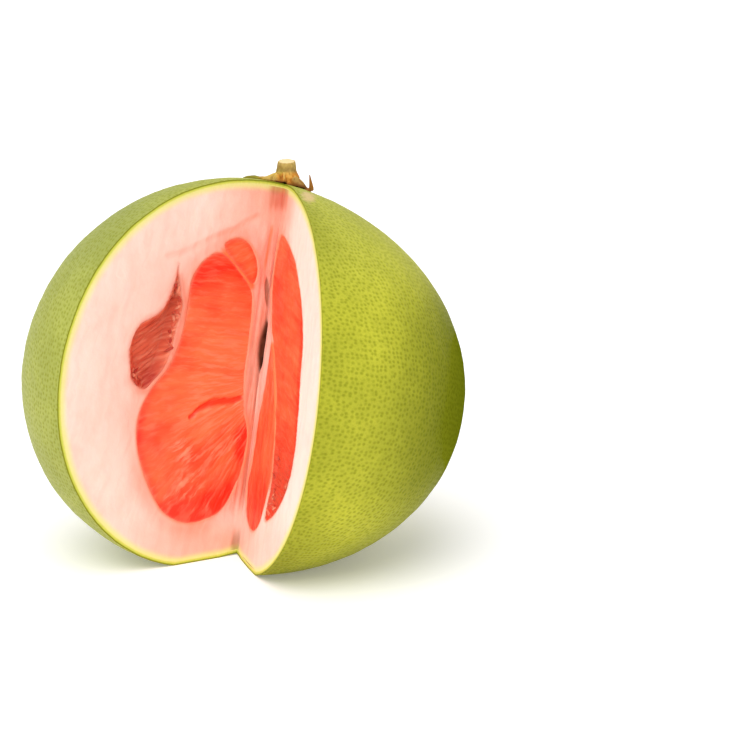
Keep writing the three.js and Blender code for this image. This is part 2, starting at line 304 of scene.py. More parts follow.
def sac_pattern(across, along, seed):
    """Packed long cells: how far into its cell each point is, and a number for each cell."""
    cx = np.floor(across).astype(np.int64)
    best = np.full(across.shape, 9.0)
    second = best.copy()
    own = np.zeros(across.shape)
    for dx in (-1, 0, 1):
        column = cx + dx
        slide = along + 0.5 * (column & 1) + 0.7 * scatter(column, column * 0, column * 0, seed + 5)
        cy = np.floor(slide).astype(np.int64)
        for dy in (-1, 0, 1):
            row = cy + dy
            px = column + 0.5 + 0.6 * (scatter(column, row, row * 0, seed) - 0.5)
            py = row + 0.5 + 0.6 * (scatter(column, row, row * 0 + 1, seed) - 0.5)
            away = np.hypot(across - px, slide - py)
            nearer = away < best
            second = np.where(nearer, best, np.minimum(second, away))
            own = np.where(nearer, scatter(column, row, row * 0 + 2, seed), own)
            best = np.where(nearer, away, best)
    return np.clip(second - best, 0, 1), own


def rounded(points, count=12):
    """A closed smooth line through the points."""
    p = np.array(points, float)
    t = np.arange(count)[:, None] / count
    parts = []
    for i in range(len(p)):
        a, b, c, d = (p[(i + k) % len(p)] for k in (-1, 0, 1, 2))
        square, cube = 2 * a - 5 * b + 4 * c - d, 3 * b - a - 3 * c + d
        parts.append(0.5 * (2 * b + (c - a) * t + square * t**2 + cube * t**3))
    return np.concatenate(parts)


def segment_distance(u, v, line, closed=True):
    """Distance from each place to a line made of short straights."""
    p = np.array(line, float)
    q = np.roll(p, -1, axis=0) if closed else p[1:]
    p = p if closed else p[:-1]
    best = np.full(u.shape, 1e9)
    for (ax, ay), (bx, by) in zip(p, q):
        dx, dy = bx - ax, by - ay
        t = np.clip(((u - ax) * dx + (v - ay) * dy) / max(dx * dx + dy * dy, 1e-9), 0, 1)
        best = np.minimum(best, np.hypot(u - ax - t * dx, v - ay - t * dy))
    return best


def depth_inside(u, v, line):
    """Distance to a closed outline: positive inside it, negative outside."""
    inside = np.zeros(u.shape, bool)
    for (ax, ay), (bx, by) in zip(line, np.roll(line, -1, axis=0)):
        crosses = (ay > v) != (by > v)
        if ay != by:
            inside ^= crosses & (u < (bx - ax) * (v - ay) / (by - ay) + ax)
    return np.where(inside, 1, -1) * segment_distance(u, v, line)


# ---- the shape of the fruit

def body_radius(d, ball):
    x, y, z = d.T
    return ball * (1 + SQUASH * (3 * z * z - 1) + SIDE_SQUASH * (x * x - y * y) + LEAN * x * z
                   + TAPER * z * (5 * z * z - 3) + TAPER_X * x * (5 * z * z - 1) + TAPER_Y * y * (5 * z * z - 1)
                   + TWIST * x * y * z + THREE_SIDED * x * (x * x - 3 * y * y))


def last_inside(is_inside, low, high):
    """The largest numbers between low and high that are still inside, found by halving."""
    for _ in range(HALVINGS):
        middle = (low + high) / 2
        inside = is_inside(middle)
        low, high = np.where(inside, middle, low), np.where(inside, high, middle)
    return low


def in_body(points, ball, offset=0.0):
    distance = np.linalg.norm(points, axis=1)
    return distance < body_radius(points / distance[:, None], ball) + offset


def skin_points(start, directions, offset, sizes):
    """Where rays from a point inside the fruit meet its skin, or a layer under it."""
    ball, dimple = sizes.ball_radius / MM, sizes.dimple_depth / MM

    def is_inside(t):
        p = start + directions * t[:, None]
        away = (p[:, 0] - DIMPLE_X) ** 2 + (p[:, 1] - DIMPLE_Y) ** 2
        lift = dimple * np.exp(-away / DIMPLE_RADIUS**2)
        p[:, 2] = np.where(p[:, 2] < 0, p[:, 2] - lift, p[:, 2])
        return in_body(p, ball, offset)

    ends = (np.full(len(directions), end) for end in RAY_RANGE)
    reach = last_inside(is_inside, *ends)
    p = start + directions * reach[:, None]
    p[:, 2] = np.maximum(p[:, 2], GROUND - min(offset, 0))
    return p


def top_of_body(x, y, sizes):
    """Height of the skin over a place near the top."""
    ball = sizes.ball_radius / MM
    ends = (np.full(x.shape, end) for end in RISE_RANGE)
    return last_inside(lambda z: in_body(side_by_side(x, y, z), ball), *ends)


def outward(degrees):
    """Direction out from the knife line, square to it, for an angle seen from above."""
    a = np.radians(np.atleast_1d(degrees))
    flat = side_by_side(np.cos(a), np.sin(a), 0 * a)
    return of_length_one(flat - (flat @ LINE_UP)[:, None] * LINE_UP)


LEFT_OUT, RIGHT_OUT = outward(LEFT_CUT_ANGLE)[0], outward(RIGHT_CUT_ANGLE)[0]
LEFT_INWARD, RIGHT_INWARD = np.cross(LEFT_OUT, LINE_UP), -np.cross(RIGHT_OUT, LINE_UP)
VALLEY_INWARD = -(LEFT_OUT + RIGHT_OUT) / np.linalg.norm(LEFT_OUT + RIGHT_OUT)


def on_face(out, u, v):
    return LINE_BOTTOM + u[:, None] * out + v[:, None] * LINE_UP


def rays(out, turns):
    """Directions in a half-plane, from straight up the knife line to straight down."""
    return np.cos(turns)[:, None] * LINE_UP + np.sin(turns)[:, None] * out


# ---- meshes

def weld(points, quads, values, uv):
    """Joins points in the same place and drops faces with no area."""
    _, first, back = np.unique(np.round(points, WELD_DIGITS), axis=0, return_index=True, return_inverse=True)
    back = back.reshape(-1)
    faces = back[quads]
    same = (faces == np.roll(faces, 1, axis=1)) | (faces == np.roll(faces, 2, axis=1))
    whole = faces[~same.any(axis=1)].tolist()
    for row in faces[same.any(axis=1)]:
        kept = list(dict.fromkeys(row.tolist()))
        if len(kept) > 2:
            whole.append(kept)
    values = {k: a[first] for k, a in values.items()}
    return points[first], whole, values, None if uv is None else uv[first]


def new_object(name, data):
    thing = bpy.data.objects.new(name, data)
    bpy.context.scene.collection.objects.link(thing)
    return thing


def read(items, name, width=1, kind=float):
    """One property of many mesh elements as an array."""
    data = np.zeros(len(items) * width, kind)
    items.foreach_get(name, data)
    return data.reshape(-1, width) if width > 1 else data


def add_map(mesh, name, uv):
    """A map from one pair of numbers for each face corner."""
    mesh.uv_layers.new(name=name).data.foreach_set("uv", uv.astype(np.float32).ravel())


def make_piece(name, points, quads, material, values, uv=None, sharp=50):
    """A closed mesh object from points in mm from the fruit's middle, with masks from 0 to 1."""
    points, faces, values, uv = weld(points, quads, values, uv)
    mesh = bpy.data.meshes.new(name)
    mesh.from_pydata(((points + CENTRE) * MM).tolist(), [], faces)
    for key, data in values.items():
        mesh.attributes.new(key, "FLOAT", "POINT").data.foreach_set("value", clipped(data).astype(np.float32))
    if uv is not None:
        add_map(mesh, "grain", uv[read(mesh.loops, "vertex_index", kind=np.int32)])
    mesh.update()
    mesh.shade_smooth()
    mesh.set_sharp_from_angle(angle=math.radians(sharp))
    mesh.materials.append(material)
    face_outwards(mesh)
    return new_object(name, mesh)


def grid_quads(columns, rows, start=0, flip=False):
    """Faces of a grid whose points are stored column by column."""
    i, j = np.meshgrid(np.arange(columns - 1), np.arange(rows - 1), indexing="ij")
    a = start + (i * rows + j).ravel()
    quad = side_by_side(a, a + 1, a + rows + 1, a + rows)
    return quad[:, ::-1] if flip else quad


def skin_map(mesh, centres, radius):
    """A map in cm over the skin, flattened with little stretch round each of a few centres."""
    corner = read(mesh.loops, "vertex_index", kind=np.int32)
    count = read(mesh.polygons, "loop_total", kind=np.int32)
    faces = read(mesh.polygons, "center", 3) / MM - CENTRE
    away = of_length_one(read(mesh.vertices, "co", 3) / MM - CENTRE)
    owner = np.repeat(np.argmax(faces @ centres.T, axis=1), count)
    side = of_length_one(np.cross(centres, [0.31, 0.2, 0.93]))
    up = np.cross(side, centres)
    d, c = away[corner], centres[owner]
    stretch = np.sqrt(2 / (1 + np.einsum("ij,ij->i", d, c))) * radius / 10
    u, v = (stretch * np.einsum("ij,ij->i", d, way[owner]) for way in (side, up))
    add_map(mesh, "skin", side_by_side(u + CHART_SPACING * owner, v))


def face_outwards(mesh):
    """Turns all faces outwards if the closed mesh holds a negative volume."""
    mesh.calc_loop_triangles()
    corners = read(mesh.loop_triangles, "vertices", 3, np.int32)
    a, b, c = read(mesh.vertices, "co", 3)[corners].transpose(1, 0, 2)
    if np.einsum("ij,ij->i", a, np.cross(b, c)).sum() < 0:
        mesh.flip_normals()


# ---- materials

def new_material(name):
    material = bpy.data.materials.new(name)
    material.use_nodes = True
    tree = material.node_tree
    return material, tree, tree.nodes["Principled BSDF"]


def plug(tree, socket, value):
    """Links a socket to the input, or sets the input to a plain value."""
    if isinstance(value, bpy.types.NodeSocket):
        tree.links.new(value, socket)
    else:
        socket.default_value = value


def add(tree, kind, inputs=None, **settings):
    """A node with its settings, and its inputs given as values or as sockets to link."""
    node = tree.nodes.new(kind)
    for key, value in settings.items():
        setattr(node, key, value)
    for key, value in (inputs or {}).items():
        plug(tree, node.inputs[key], value)
    return node


def attribute(tree, name):
    return add(tree, "ShaderNodeAttribute", attribute_name=name).outputs["Fac"]


def surface_map(tree, name):
    return add(tree, "ShaderNodeUVMap", uv_map=name).outputs[0]


def object_place(tree):
    return add(tree, "ShaderNodeTexCoord").outputs["Object"]


def math_of(tree, operation, a, b, clamp=False):
    return add(tree, "ShaderNodeMath", {0: a, 1: b}, operation=operation, use_clamp=clamp).outputs[0]


def times(tree, a, b):
    return math_of(tree, "MULTIPLY", a, b)


def swayed(tree, mask, by, middle, share):
    """A mask raised and lowered a little by another one."""
    return math_of(tree, "ADD", mask, times(tree, math_of(tree, "SUBTRACT", by, middle), share), clamp=True)


def mixed(tree, share, a, b):
    """One colour laid over another by a mask."""
    return add(tree, "ShaderNodeMix", {0: share, 6: a, 7: b}, data_type="RGBA").outputs[2]


def ramp(tree, value, low, high):
    return add(tree, "ShaderNodeMapRange", {"Value": value, "From Min": low, "From Max": high},
               interpolation_type="SMOOTHSTEP").outputs["Result"]


def stretched(tree, value, low, high, last=1.0):
    """A value from 0 to last, spread from low to high."""
    return add(tree, "ShaderNodeMapRange", {
        "Value": value, "From Max": last, "To Min": low, "To Max": high}).outputs[0]


def layered(tree, colours, base, layers):
    """Colours laid over a base one by one: each with its mask, or a mask's name, and a share."""
    base = fetch(colours, base)
    for colour, mask, share in layers:
        mask = attribute(tree, mask) if isinstance(mask, str) else mask
        mask = mask if share == 1 else times(tree, mask, share)
        base = mixed(tree, mask, base, fetch(colours, colour) if isinstance(colour, str) else colour)
    return base


def new_group(name, kind, inputs, outputs):
    """An empty node group with named sockets."""
    tree = bpy.data.node_groups.new(name, kind)
    for label, socket, *value in inputs:
        item = tree.interface.new_socket(label, in_out="INPUT", socket_type=f"NodeSocket{socket}")
        if value:
            item.default_value = value[0]
    for label, socket in outputs:
        tree.interface.new_socket(label, in_out="OUTPUT", socket_type=f"NodeSocket{socket}")
    return tree, tree.nodes.new("NodeGroupInput").outputs, tree.nodes.new("NodeGroupOutput").inputs


def mottling_group():
    """Soft clouds of tone in two sizes."""
    found = bpy.data.node_groups.get("Soft mottling")
    if found:
        return found
    tree, given, result = new_group(
        "Soft mottling", "ShaderNodeTree",
        [("Place", "Vector"), ("Scale", "Float", 60.0), ("Fine scale", "Float", 400.0),
         ("Fine share", "Float", 0.3)], [("Mask", "Float")])
    large, fine = (
        add(tree, "ShaderNodeTexNoise", {"Vector": given["Place"], "Scale": given[scale], "Detail": detail})
        for scale, detail in (("Scale", 3.0), ("Fine scale", 2.0)))
    share = add(tree, "ShaderNodeMix", {
        0: given["Fine share"], 2: large.outputs["Fac"], 3: fine.outputs["Fac"]})
    tree.links.new(ramp(tree, share.outputs[0], 0.35, 0.65), result["Mask"])
    return tree


def streak_group():
    """Fine threads along the grain, from the piece's own grain map in cm."""
    found = bpy.data.node_groups.get("Threads along the grain")
    if found:
        return found
    tree, given, result = new_group(
        "Threads along the grain", "ShaderNodeTree",
        [("Grain", "Vector"), ("Across", "Float", 9.0), ("Along", "Float", 0.9), ("Bend", "Float", 0.08)],
        [("Threads", "Float"), ("Broad", "Float")])

    def vector_of(operation, inputs):
        return add(tree, "ShaderNodeVectorMath", inputs, operation=operation).outputs[0]

    wander = add(tree, "ShaderNodeTexNoise", {"Vector": given["Grain"], "Scale": 1.6, "Detail": 2.0})
    centred = vector_of("SUBTRACT", {0: wander.outputs["Color"], 1: (0.5, 0.5, 0.5)})
    bent = vector_of("ADD", {0: given["Grain"], 1: vector_of("SCALE", {0: centred, "Scale": given["Bend"]})})
    stretch = add(tree, "ShaderNodeCombineXYZ", {"X": given["Across"], "Y": given["Along"], "Z": 1.0})
    laid = vector_of("MULTIPLY", {0: bent, 1: stretch.outputs[0]})
    fine = add(tree, "ShaderNodeTexNoise", {"Vector": laid, "Scale": 1.0, "Detail": 3.0, "Roughness": 0.6})
    broad = add(tree, "ShaderNodeTexNoise", {"Vector": laid, "Scale": 0.28, "Detail": 1.0})
    for name, noise in (("Threads", fine), ("Broad", broad)):
        tree.links.new(ramp(tree, noise.outputs["Fac"], 0.3, 0.7), result[name])
    return tree


def use_group(tree, group, inputs):
    node = tree.nodes.new("ShaderNodeGroup")
    node.node_tree = group
    for key, value in inputs.items():
        plug(tree, node.inputs[key], value)
    return node.outputs


def clouds_of(tree, scale, fine_scale, fine_share):
    return use_group(tree, mottling_group(), {
        "Place": object_place(tree), "Scale": scale, "Fine scale": fine_scale,
        "Fine share": fine_share})["Mask"]


def threads_of(tree, across, along, bend):
    return use_group(tree, streak_group(), {
        "Grain": surface_map(tree, "grain"), "Across": across, "Along": along, "Bend": bend})


def dress(tree, shader, base, rough, gleam, bump, glow=None):
    """Sends colour, shine, bumps and the light inside the tissue to the shader."""
    height, amount, distance = bump
    bumps = add(tree, "ShaderNodeBump", {"Height": height, "Strength": amount, "Distance": distance})
    inputs = {
        "Base Color": base, "Roughness": rough, "Specular IOR Level": gleam, "Normal": bumps.outputs["Normal"]}
    if glow:
        inputs.update(zip(("Subsurface Weight", "Subsurface Radius", "Subsurface Scale"), glow))
    for name, value in inputs.items():
        plug(tree, shader.inputs[name], value)


def rind_material(colours):
    """Waxy green skin with dark oil glands, yellow where it is cut."""
    material, tree, shader = new_material("Rind")
    skin = surface_map(tree, "skin")
    glands, fine = (
        add(tree, "ShaderNodeTexVoronoi", {"Vector": skin, "Scale": scale, "Randomness": loose},
            voronoi_dimensions="2D").outputs for scale, loose in ((5.7, 0.62), (10.5, 1.0)))
    specks = ramp(tree, fine["Distance"], 0.45, 0.12)
    own = add(tree, "ShaderNodeSeparateColor", {0: glands["Color"]}).outputs[0]
    spots = times(tree, ramp(tree, glands["Distance"], 0.5, 0.1), ramp(tree, own, -0.9, 0.8))
    # The olive mask is painted shade: it turns the skin and its glands olive and takes away shine on the right
    # side and low down.
    olive, under = attribute(tree, "olive"), attribute(tree, "under")
    dots = mixed(tree, olive, fetch(colours, "glands"), fetch(colours, "glands_deep"))
    base = layered(tree, colours, "rind", [
        ("rind_sage", "sage", 1), ("rind_olive", olive, 1),
        ("rind_olive", clouds_of(tree, 32.0, 190.0, 0.35), 0.22),
        (dots, specks, 0.14), (dots, spots, 0.56), ("scar", "scar", 0.75),
        ("rind_dark", ramp(tree, under, 0.0, 0.06), 1), ("rind_edge", ramp(tree, under, 0.18, 0.5), 1),
        ("pith_rim", ramp(tree, under, 0.55, 1.0), 1)])
    height = math_of(tree, "ADD", times(tree, spots, -1.0), times(tree, specks, -0.35))
    dress(tree, shader, base, stretched(tree, spots, 0.46, 0.58), stretched(tree, olive, 0.11, 0.0, 0.8),
          (height, 0.32, BUMP_DEPTH), (0.08, (0.7, 1.0, 0.25), 0.0015))
    return material


def pith_material(colours):
    """Spongy cream-pink pith, rosier beside the flesh and core."""
    material, tree, shader = new_material("Pith")
    clouds = clouds_of(tree, 55.0, 320.0, 0.35)
    threads = threads_of(tree, 7.0, 0.55, 0.3)["Threads"]
    rose = swayed(tree, attribute(tree, "rose"), clouds, 0.45, 0.12)
    veins = times(tree, attribute(tree, "fibre"), ramp(tree, threads, 0.35, 0.9))
    # Dark browns for the core hole and slit, partly painted shade of these recesses.
    dry = mixed(tree, clouds, fetch(colours, "core_dark"), fetch(colours, "bark_dark"))
    base = layered(tree, colours, "pith", [
        ("pith_pale", "pale", 1), ("pith_rose", rose, 1), ("fibre", veins, 0.55), ("pith_rim", "rim", 1),
        ("flesh", "juice", 1), ("dry_flesh", "brick", 1), ("crease", "crease", 1), (dry, "dark", 1)])
    grit = add(tree, "ShaderNodeTexNoise", {"Vector": object_place(tree), "Scale": 900.0, "Detail": 3.0})
    height = math_of(tree, "ADD", times(tree, threads, 0.5), grit.outputs["Fac"])
    dress(tree, shader, base, 0.62, 0.3, (height, 0.22, BUMP_DEPTH), (0.22, (1.0, 0.45, 0.3), 0.003))
    return material


def flesh_material(name, colours, tones, rough, gleam, depth):
    """Juice sacs in threads along the grain; ripe and pale masks lie on the mesh."""
    main, deep, pale = tones
    material, tree, shader = new_material(name)
    clouds = clouds_of(tree, 70.0, 420.0, 0.4)
    both = threads_of(tree, 6.5, 1.0, 0.22)
    threads = both["Threads"]
    # The gap mask is painted shade: cracks, slits, pits and the walls between sacs darken to the deep tone.
    base = layered(tree, colours, main, [
        (deep, swayed(tree, attribute(tree, "ripe"), both["Broad"], 0.5, 0.30), 1),
        (pale, times(tree, attribute(tree, "pale"), ramp(tree, threads, 0.25, 0.95)), 1),
        (pale, ramp(tree, threads, 0.6, 1.0), 0.06), ("pith_rose", "film", 1), ("drying", "dry", 0.8),
        (deep, "gap", 0.75), (deep, clouds, 0.10)])
    dress(tree, shader, base, stretched(tree, clouds, rough, rough + 0.14), gleam,
          (threads, 0.14, BUMP_DEPTH), (0.25, (1.0, 0.25, 0.12), depth))
    return material


def stem_material(colours):
    """Olive bark, an ochre calyx and a pale cut top."""
    material, tree, shader = new_material("Stem")
    clouds = clouds_of(tree, 210.0, 900.0, 0.45)
    tall = add(tree, "ShaderNodeMapping", {"Vector": object_place(tree), "Scale": (1.0, 1.0, 0.22)}).outputs[0]
    ridges = add(tree, "ShaderNodeTexNoise", {"Vector": tall, "Scale": 900.0, "Detail": 3.0}).outputs["Fac"]
    # The shade mask paints shade in dark brown, and the ridge mask paints highlights in pale straw.
    base = layered(tree, colours, "bark", [
        ("calyx", "calyx", 1), ("calyx_green", "green", 1), ("calyx_light", "ridge", 0.6),
        ("bark_dark", ramp(tree, ridges, 0.5, 0.75), 0.45), ("bark_dark", clouds, 0.2),
        ("bark_dark", "shade", 0.85), ("cut_wood", "cut", 1)])
    height = math_of(tree, "ADD", ridges, times(tree, clouds, 0.4))
    dress(tree, shader, base, 0.72, 0.25, (height, 0.6, 0.0006))
    return material


def sac_material(colours):
    """Shrunken sacs, each with its own tone between brick red and pale."""
    found = bpy.data.materials.get("Loose sacs")
    if found:
        return found
    material, tree, shader = new_material("Loose sacs")
    clouds, own = clouds_of(tree, 300.0, 1500.0, 0.4), attribute(tree, "own")
    base = layered(tree, colours, "dry_dark", [
        ("dry_flesh", ramp(tree, own, 0.0, 0.6), 1), ("flesh_pale", ramp(tree, own, 0.5, 1.0), 0.5),
        ("dry_dark", clouds, 0.3)])
    dress(tree, shader, base, 0.46, 0.25, (clouds, 0.3, 0.0002), (0.2, (1.0, 0.3, 0.2), 0.001))
    return material


def stage_material():
    material, tree, shader = new_material("Studio white")
    for name, value in (("Base Color", (0.97, 0.955, 0.96, 1)), ("Emission Color", (1, 1, 1, 1)),
                        ("Emission Strength", 0.18), ("Roughness", 0.9), ("Specular IOR Level", 0.1)):
        plug(tree, shader.inputs[name], value)
    return material


# ---- operators, one for each piece or group of like pieces

def edge_strip(outer, inner, inner_rows, turned):
    """Triangles from a fine outer edge to an inner edge with fewer points."""
    half, strip = RIND_STEP // 2, []
    for k in range(inner_rows - 1):
        start, low = outer + RIND_STEP * k, inner + k
        edge = [(start + s, start + s + 1, low + int(s >= half)) for s in range(RIND_STEP)]
        edge.append((start + half, low + 1, low))
        strip += [(t[::-1] if turned else t) for t in edge]
    return strip


class POMELO_OT_rind(Operator):
    """Build the green skin, open where the wedge was cut out"""

    bl_idname = "pomelo.rind"
    bl_label = "Rind"

    def execute(self, context):
        sizes, colours = fruit_settings()
        columns, rows = RIND_GRID
        angles = np.linspace(RIGHT_CUT_ANGLE, LEFT_CUT_ANGLE + 360, columns)
        turns = np.linspace(0, math.pi, rows)

        def shell(some_angles, some_turns, offset):
            directions = np.concatenate([rays(out, some_turns) for out in outward(some_angles)])
            return skin_points(LINE_MIDDLE, directions, offset, sizes)

        outer = shell(angles, turns, 0.0)
        bumps = 0.7 * soft_noise(outer, 17, 3, 2) + 0.45 * soft_noise(outer, 5.5, 8, 2)
        bumps += 0.25 * soft_noise(outer, 2.1, 12)
        standing = smooth(GROUND + 0.2, GROUND + 3, outer[:, 2])
        lift = bumps * standing * sizes.skin_relief / MM
        outer = outer + of_length_one(outer - LINE_MIDDLE) * lift[:, None]
        few_angles, few_turns = angles[::RIND_STEP], turns[::RIND_STEP]
        inner = shell(few_angles, few_turns, -sizes.skin / MM)
        inner_rows, inner_columns, start = len(few_turns), len(few_angles), len(outer)
        strips = edge_strip(0, start, inner_rows, False) + edge_strip(
            (columns - 1) * rows, start + (inner_columns - 1) * inner_rows, inner_rows, True)
        quads = np.concatenate([
            grid_quads(columns, rows), grid_quads(inner_columns, inner_rows, start, flip=True),
            np.array([(c, c, b, a) for a, b, c in strips])])
        points = np.concatenate([outer, inner])
        x, _, z = (points + CENTRE).T
        around = np.concatenate([np.repeat(np.linspace(0, 1, columns), rows), np.zeros(len(inner))])
        to_scar = np.linalg.norm((points + CENTRE - SCAR) * [1.6, 0.5, 1], axis=1)
        values = {
            "under": np.repeat([0.0, 1.0], [len(outer), len(inner)]),
            # Painted sheen: paler greyer green towards the left and the top.
            "sage": smooth(10, -62, x) * 0.85 + 0.35 * smooth(95, 135, z),
            # Painted shade: olive towards the right side, near the bottom and along the right cut edge.
            "olive": 0.9 * smooth(35, 82, x - 0.005 * (z - 52) ** 2 + 3 * soft_noise(points, 22, 6, 2))
            + 0.3 * smooth(30, 4, z) * smooth(-60, 0, x) + 0.2 * smooth(0.06, 0, around),
            "scar": smooth(5.6, 1.6, to_scar + 1.6 * soft_noise(points, 1.8, 4, 2)),
        }
        piece = make_piece("rind_skin", points, quads, rind_material(colours), values)
        across, rise = np.radians(SKIN_CHARTS).T
        level = np.cos(rise)
        centres = side_by_side(np.cos(across) * level, np.sin(across) * level, np.sin(rise))
        skin_map(piece.data, centres, sizes.ball_radius / MM)
        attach(piece, "root")
        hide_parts("rind")
        return {"FINISHED"}


def opening_depth(u, v, opening):
    """How deep a narrow lens-shaped opening is at each place, from 0 to 1."""
    half_width, half_height, middle = opening
    return smooth(1.08, 0.55, np.hypot(u / half_width, (v - middle) / half_height))


def pith_face(left, out, inward, turns, steps, sizes):
    """Points, rim, masks and grain of one cut face of the pith."""
    edge = skin_points(LINE_MIDDLE, rays(out, turns), -sizes.skin / MM, sizes)
    reach = np.linalg.norm(edge - LINE_MIDDLE, axis=1)[:, None]
    u = (reach * steps * np.sin(turns)[:, None]).ravel()
    v = (LINE_HALF + reach * steps * np.cos(turns)[:, None]).ravel()
    to_rim = (reach * (1 - steps)).ravel()
    nothing, far_away = 0 * u, np.full(u.shape, 50.0)
    flat = side_by_side(u, v, nothing + (0 if left else 40))

    # Distances to the flesh, the dried hollow and the marks in the left face
    lines = (LEFT_LARGE, LEFT_TIP) if left else (RIGHT_OUTER, RIGHT_INNER)
    apart = [depth_inside(u, v, rounded(line)) for line in lines]
    inside, membrane = np.maximum(*apart), smooth(-2.4, -0.9, np.minimum(*apart))
    hollow = depth_inside(u, v, rounded(LEFT_HOLLOW)) if left else -far_away
    seam = segment_distance(u, v, SEAM, closed=False) if left else far_away
    spike = segment_distance(u, v, SPIKE, closed=False) + 0.07 * (v - 97) if left else far_away
    spike = smooth(1.0, 0.2, spike)
    wander = 0.5 * soft_noise(flat, 5, 21, 2)
    strands = soft_noise(flat * [1, 0.055, 1], 1.15, 17, 2)
    core = smooth(8.5, 1.5, u) * smooth(8, 24, v) * smooth(130, 112, v)
    crease = smooth(11, 2, v) * smooth(4.4 if left else 2.6, 0.3, u) * clipped(0.6 + 0.7 * strands)
    hole = opening_depth(u + 0.5 * wander, v, CORE_HOLE)
    slit_u = u - 1.5 - 0.15 * (v - CORE_SLIT[2]) + 0.25 * wander
    slit = opening_depth(slit_u, v, CORE_SLIT) if left else nothing

    # Depth behind the cut plane
    relief = soft_noise(flat, 9, 15, 2) * 1.1 + soft_noise(flat * [1, 0.4, 1], 2.6, 16, 2) * 0.7
    depth = -relief * sizes.pith_relief / MM - core * (0.35 + 0.5 * strands)
    depth -= 0.1 * smooth(-1.6, -0.5, inside) * smooth(0.6, -0.2, inside)
    depth += 2.2 * smooth(-0.15, 1.5, inside)
    lip = hollow + 0.35 * wander
    depth -= 0.3 * smooth(-2.2, -0.6, lip) * smooth(0.4, -0.4, lip)
    depth += (sizes.hollow_depth / MM + ROOM_BEHIND_HOLLOW) * smooth(-0.2, 2.2, lip)
    depth += 0.1 * smooth(0.9, 0.1, seam) + 0.7 * spike + 0.8 * crease + 0.7 * slit
    keep = smooth(0, 1.6, u) * smooth(0.0, 2.2, to_rim)
    valley = hole * sizes.core_depth / MM
    points = on_face(out, u, v) + (depth * keep)[:, None] * inward + valley[:, None] * VALLEY_INWARD

    # Masks for the colours
    top, bottom = smooth(108, 134, v) * smooth(36, 4, u), smooth(15, 3, v) * smooth(62, 12, u)
    near = smooth(-8, -0.4, inside + 1.2 * wander) if left else 0.6 * smooth(-4.0, -0.2, inside + wander)
    rose = 0.40 * near + 0.25 * smooth(-5, -0.3, hollow + wander) + 0.48 * core + 0.65 * top
    rose += (0.45 if left else 0.3) * bottom
    if not left:
        rose = rose * (0.35 + 0.65 * smooth(34, 8, u)) - 0.10
    rose += 0.03 + 0.24 * smooth(1.9, 0.2, seam + 0.5 * wander)
    rose += 0.10 * soft_noise(flat, 11, 31, 2) + 0.05 * soft_noise(flat, 3, 32, 2)
    pale = 0.92 * smooth(5, 26, u) * (1 - 0.75 * smooth(30, 6, v))
    if left:
        pale = 0.4 * smooth(26, 4, to_rim) * (1 - bottom)
    streak = smooth(0.9, 0.2, np.abs(u - 3.2 + 0.05 * (v - 117))) if left else nothing
    streak = streak * smooth(102, 109, v) * smooth(123, 119, v)
    stain = smooth(1.6, 0.5, np.hypot((u - 3.5) / 2.2, (v - 134.5) / 1.6))
    wide = (6.8, 4.0) if left else (9.0, 4.2)
    streaks = smooth(*wide, u + 1.2 * strands) * smooth(125.5, 129.5, v + 1.5 * strands)
    streaks *= 0.75 + 0.5 * np.clip(strands, -0.5, 0.5)
    # Painted shadow: faint grey lines beside the knife line, low in the core.
    shadow_lines = smooth(1.0, 0.3, np.abs(u - 4.6 + 0.05 * (v - 60) + 0.5 * strands))
    shadow_lines *= smooth(40, 48, v) * smooth(76, 66, v)
    halo = smooth(1.9, 1.0, np.hypot((u - 1.2) / 3.6, (v - 75) / 9.5)) if left else nothing
    values = {
        "rose": rose, "pale": pale, "rim": smooth(3.2, 0.0, to_rim + 0.5 * wander) ** 1.5 * 0.95,
        "fibre": 0.14 + 0.5 * core + 0.3 * smooth(1.3, 0.2, seam) + 0.3 * near,
        "juice": 0.8 * streak + 0.6 * smooth(-1.3, 0.2, inside + 0.4 * wander) + 0.72 * membrane,
        "brick": 0.55 * smooth(-2.6, 0.4, hollow + 1.8 * wander) + 0.85 * spike + 0.75 * streaks + 0.3 * slit,
        "crease": 0.75 * crease + 0.2 * stain + 0.1 * streaks,
        # Darker browns in the core hole and slit, partly painted shade; the grey lines and the halo round the
        # hole are painted shadow.
        "dark": 0.9 * smooth(0.02, 0.5, hole) + 0.65 * smooth(0.1, 0.8, slit) + 0.1 * shadow_lines + 0.1 * halo,
    }
    grain = side_by_side(np.where(core > 0.4, u, 0.35 * u), v * 0.6 + 0.4 * u) / 10
    return points, edge, values, grain


class POMELO_OT_pith(Operator):
    """Build the pith with its two cut faces, membranes and core"""

    bl_idname = "pomelo.pith"
    bl_label = "Pith"

    def execute(self, context):
        sizes, colours = fruit_settings()
        rows, rings = PITH_GRID
        turns, steps = np.linspace(0, math.pi, rows), np.linspace(0, 1, rings)
        left = pith_face(True, LEFT_OUT, LEFT_INWARD, turns, steps, sizes)
        right = pith_face(False, RIGHT_OUT, RIGHT_INWARD, turns, steps, sizes)
        angles = np.linspace(RIGHT_CUT_ANGLE, LEFT_CUT_ANGLE + 360, PITH_BACK)
        back = np.concatenate([
            skin_points(LINE_MIDDLE, rays(out, turns), -sizes.skin / MM, sizes) for out in outward(angles)])
        back[:rows], back[-rows:] = right[1], left[1]
        count = rows * rings
        quads = np.concatenate([
            grid_quads(rows, rings), grid_quads(rows, rings, count, flip=True),
            grid_quads(PITH_BACK, rows, 2 * count)])
        values = {k: np.concatenate([left[2][k], right[2][k], np.zeros(len(back))]) for k in left[2]}
        grain = np.concatenate([left[3], right[3], np.zeros((len(back), 2))])
        points = np.concatenate([left[0], right[0], back])
        piece = make_piece("pith_and_membranes", points, quads, pith_material(colours), values, grain)
        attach(piece, "root")
        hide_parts("pith")
        return {"FINISHED"}


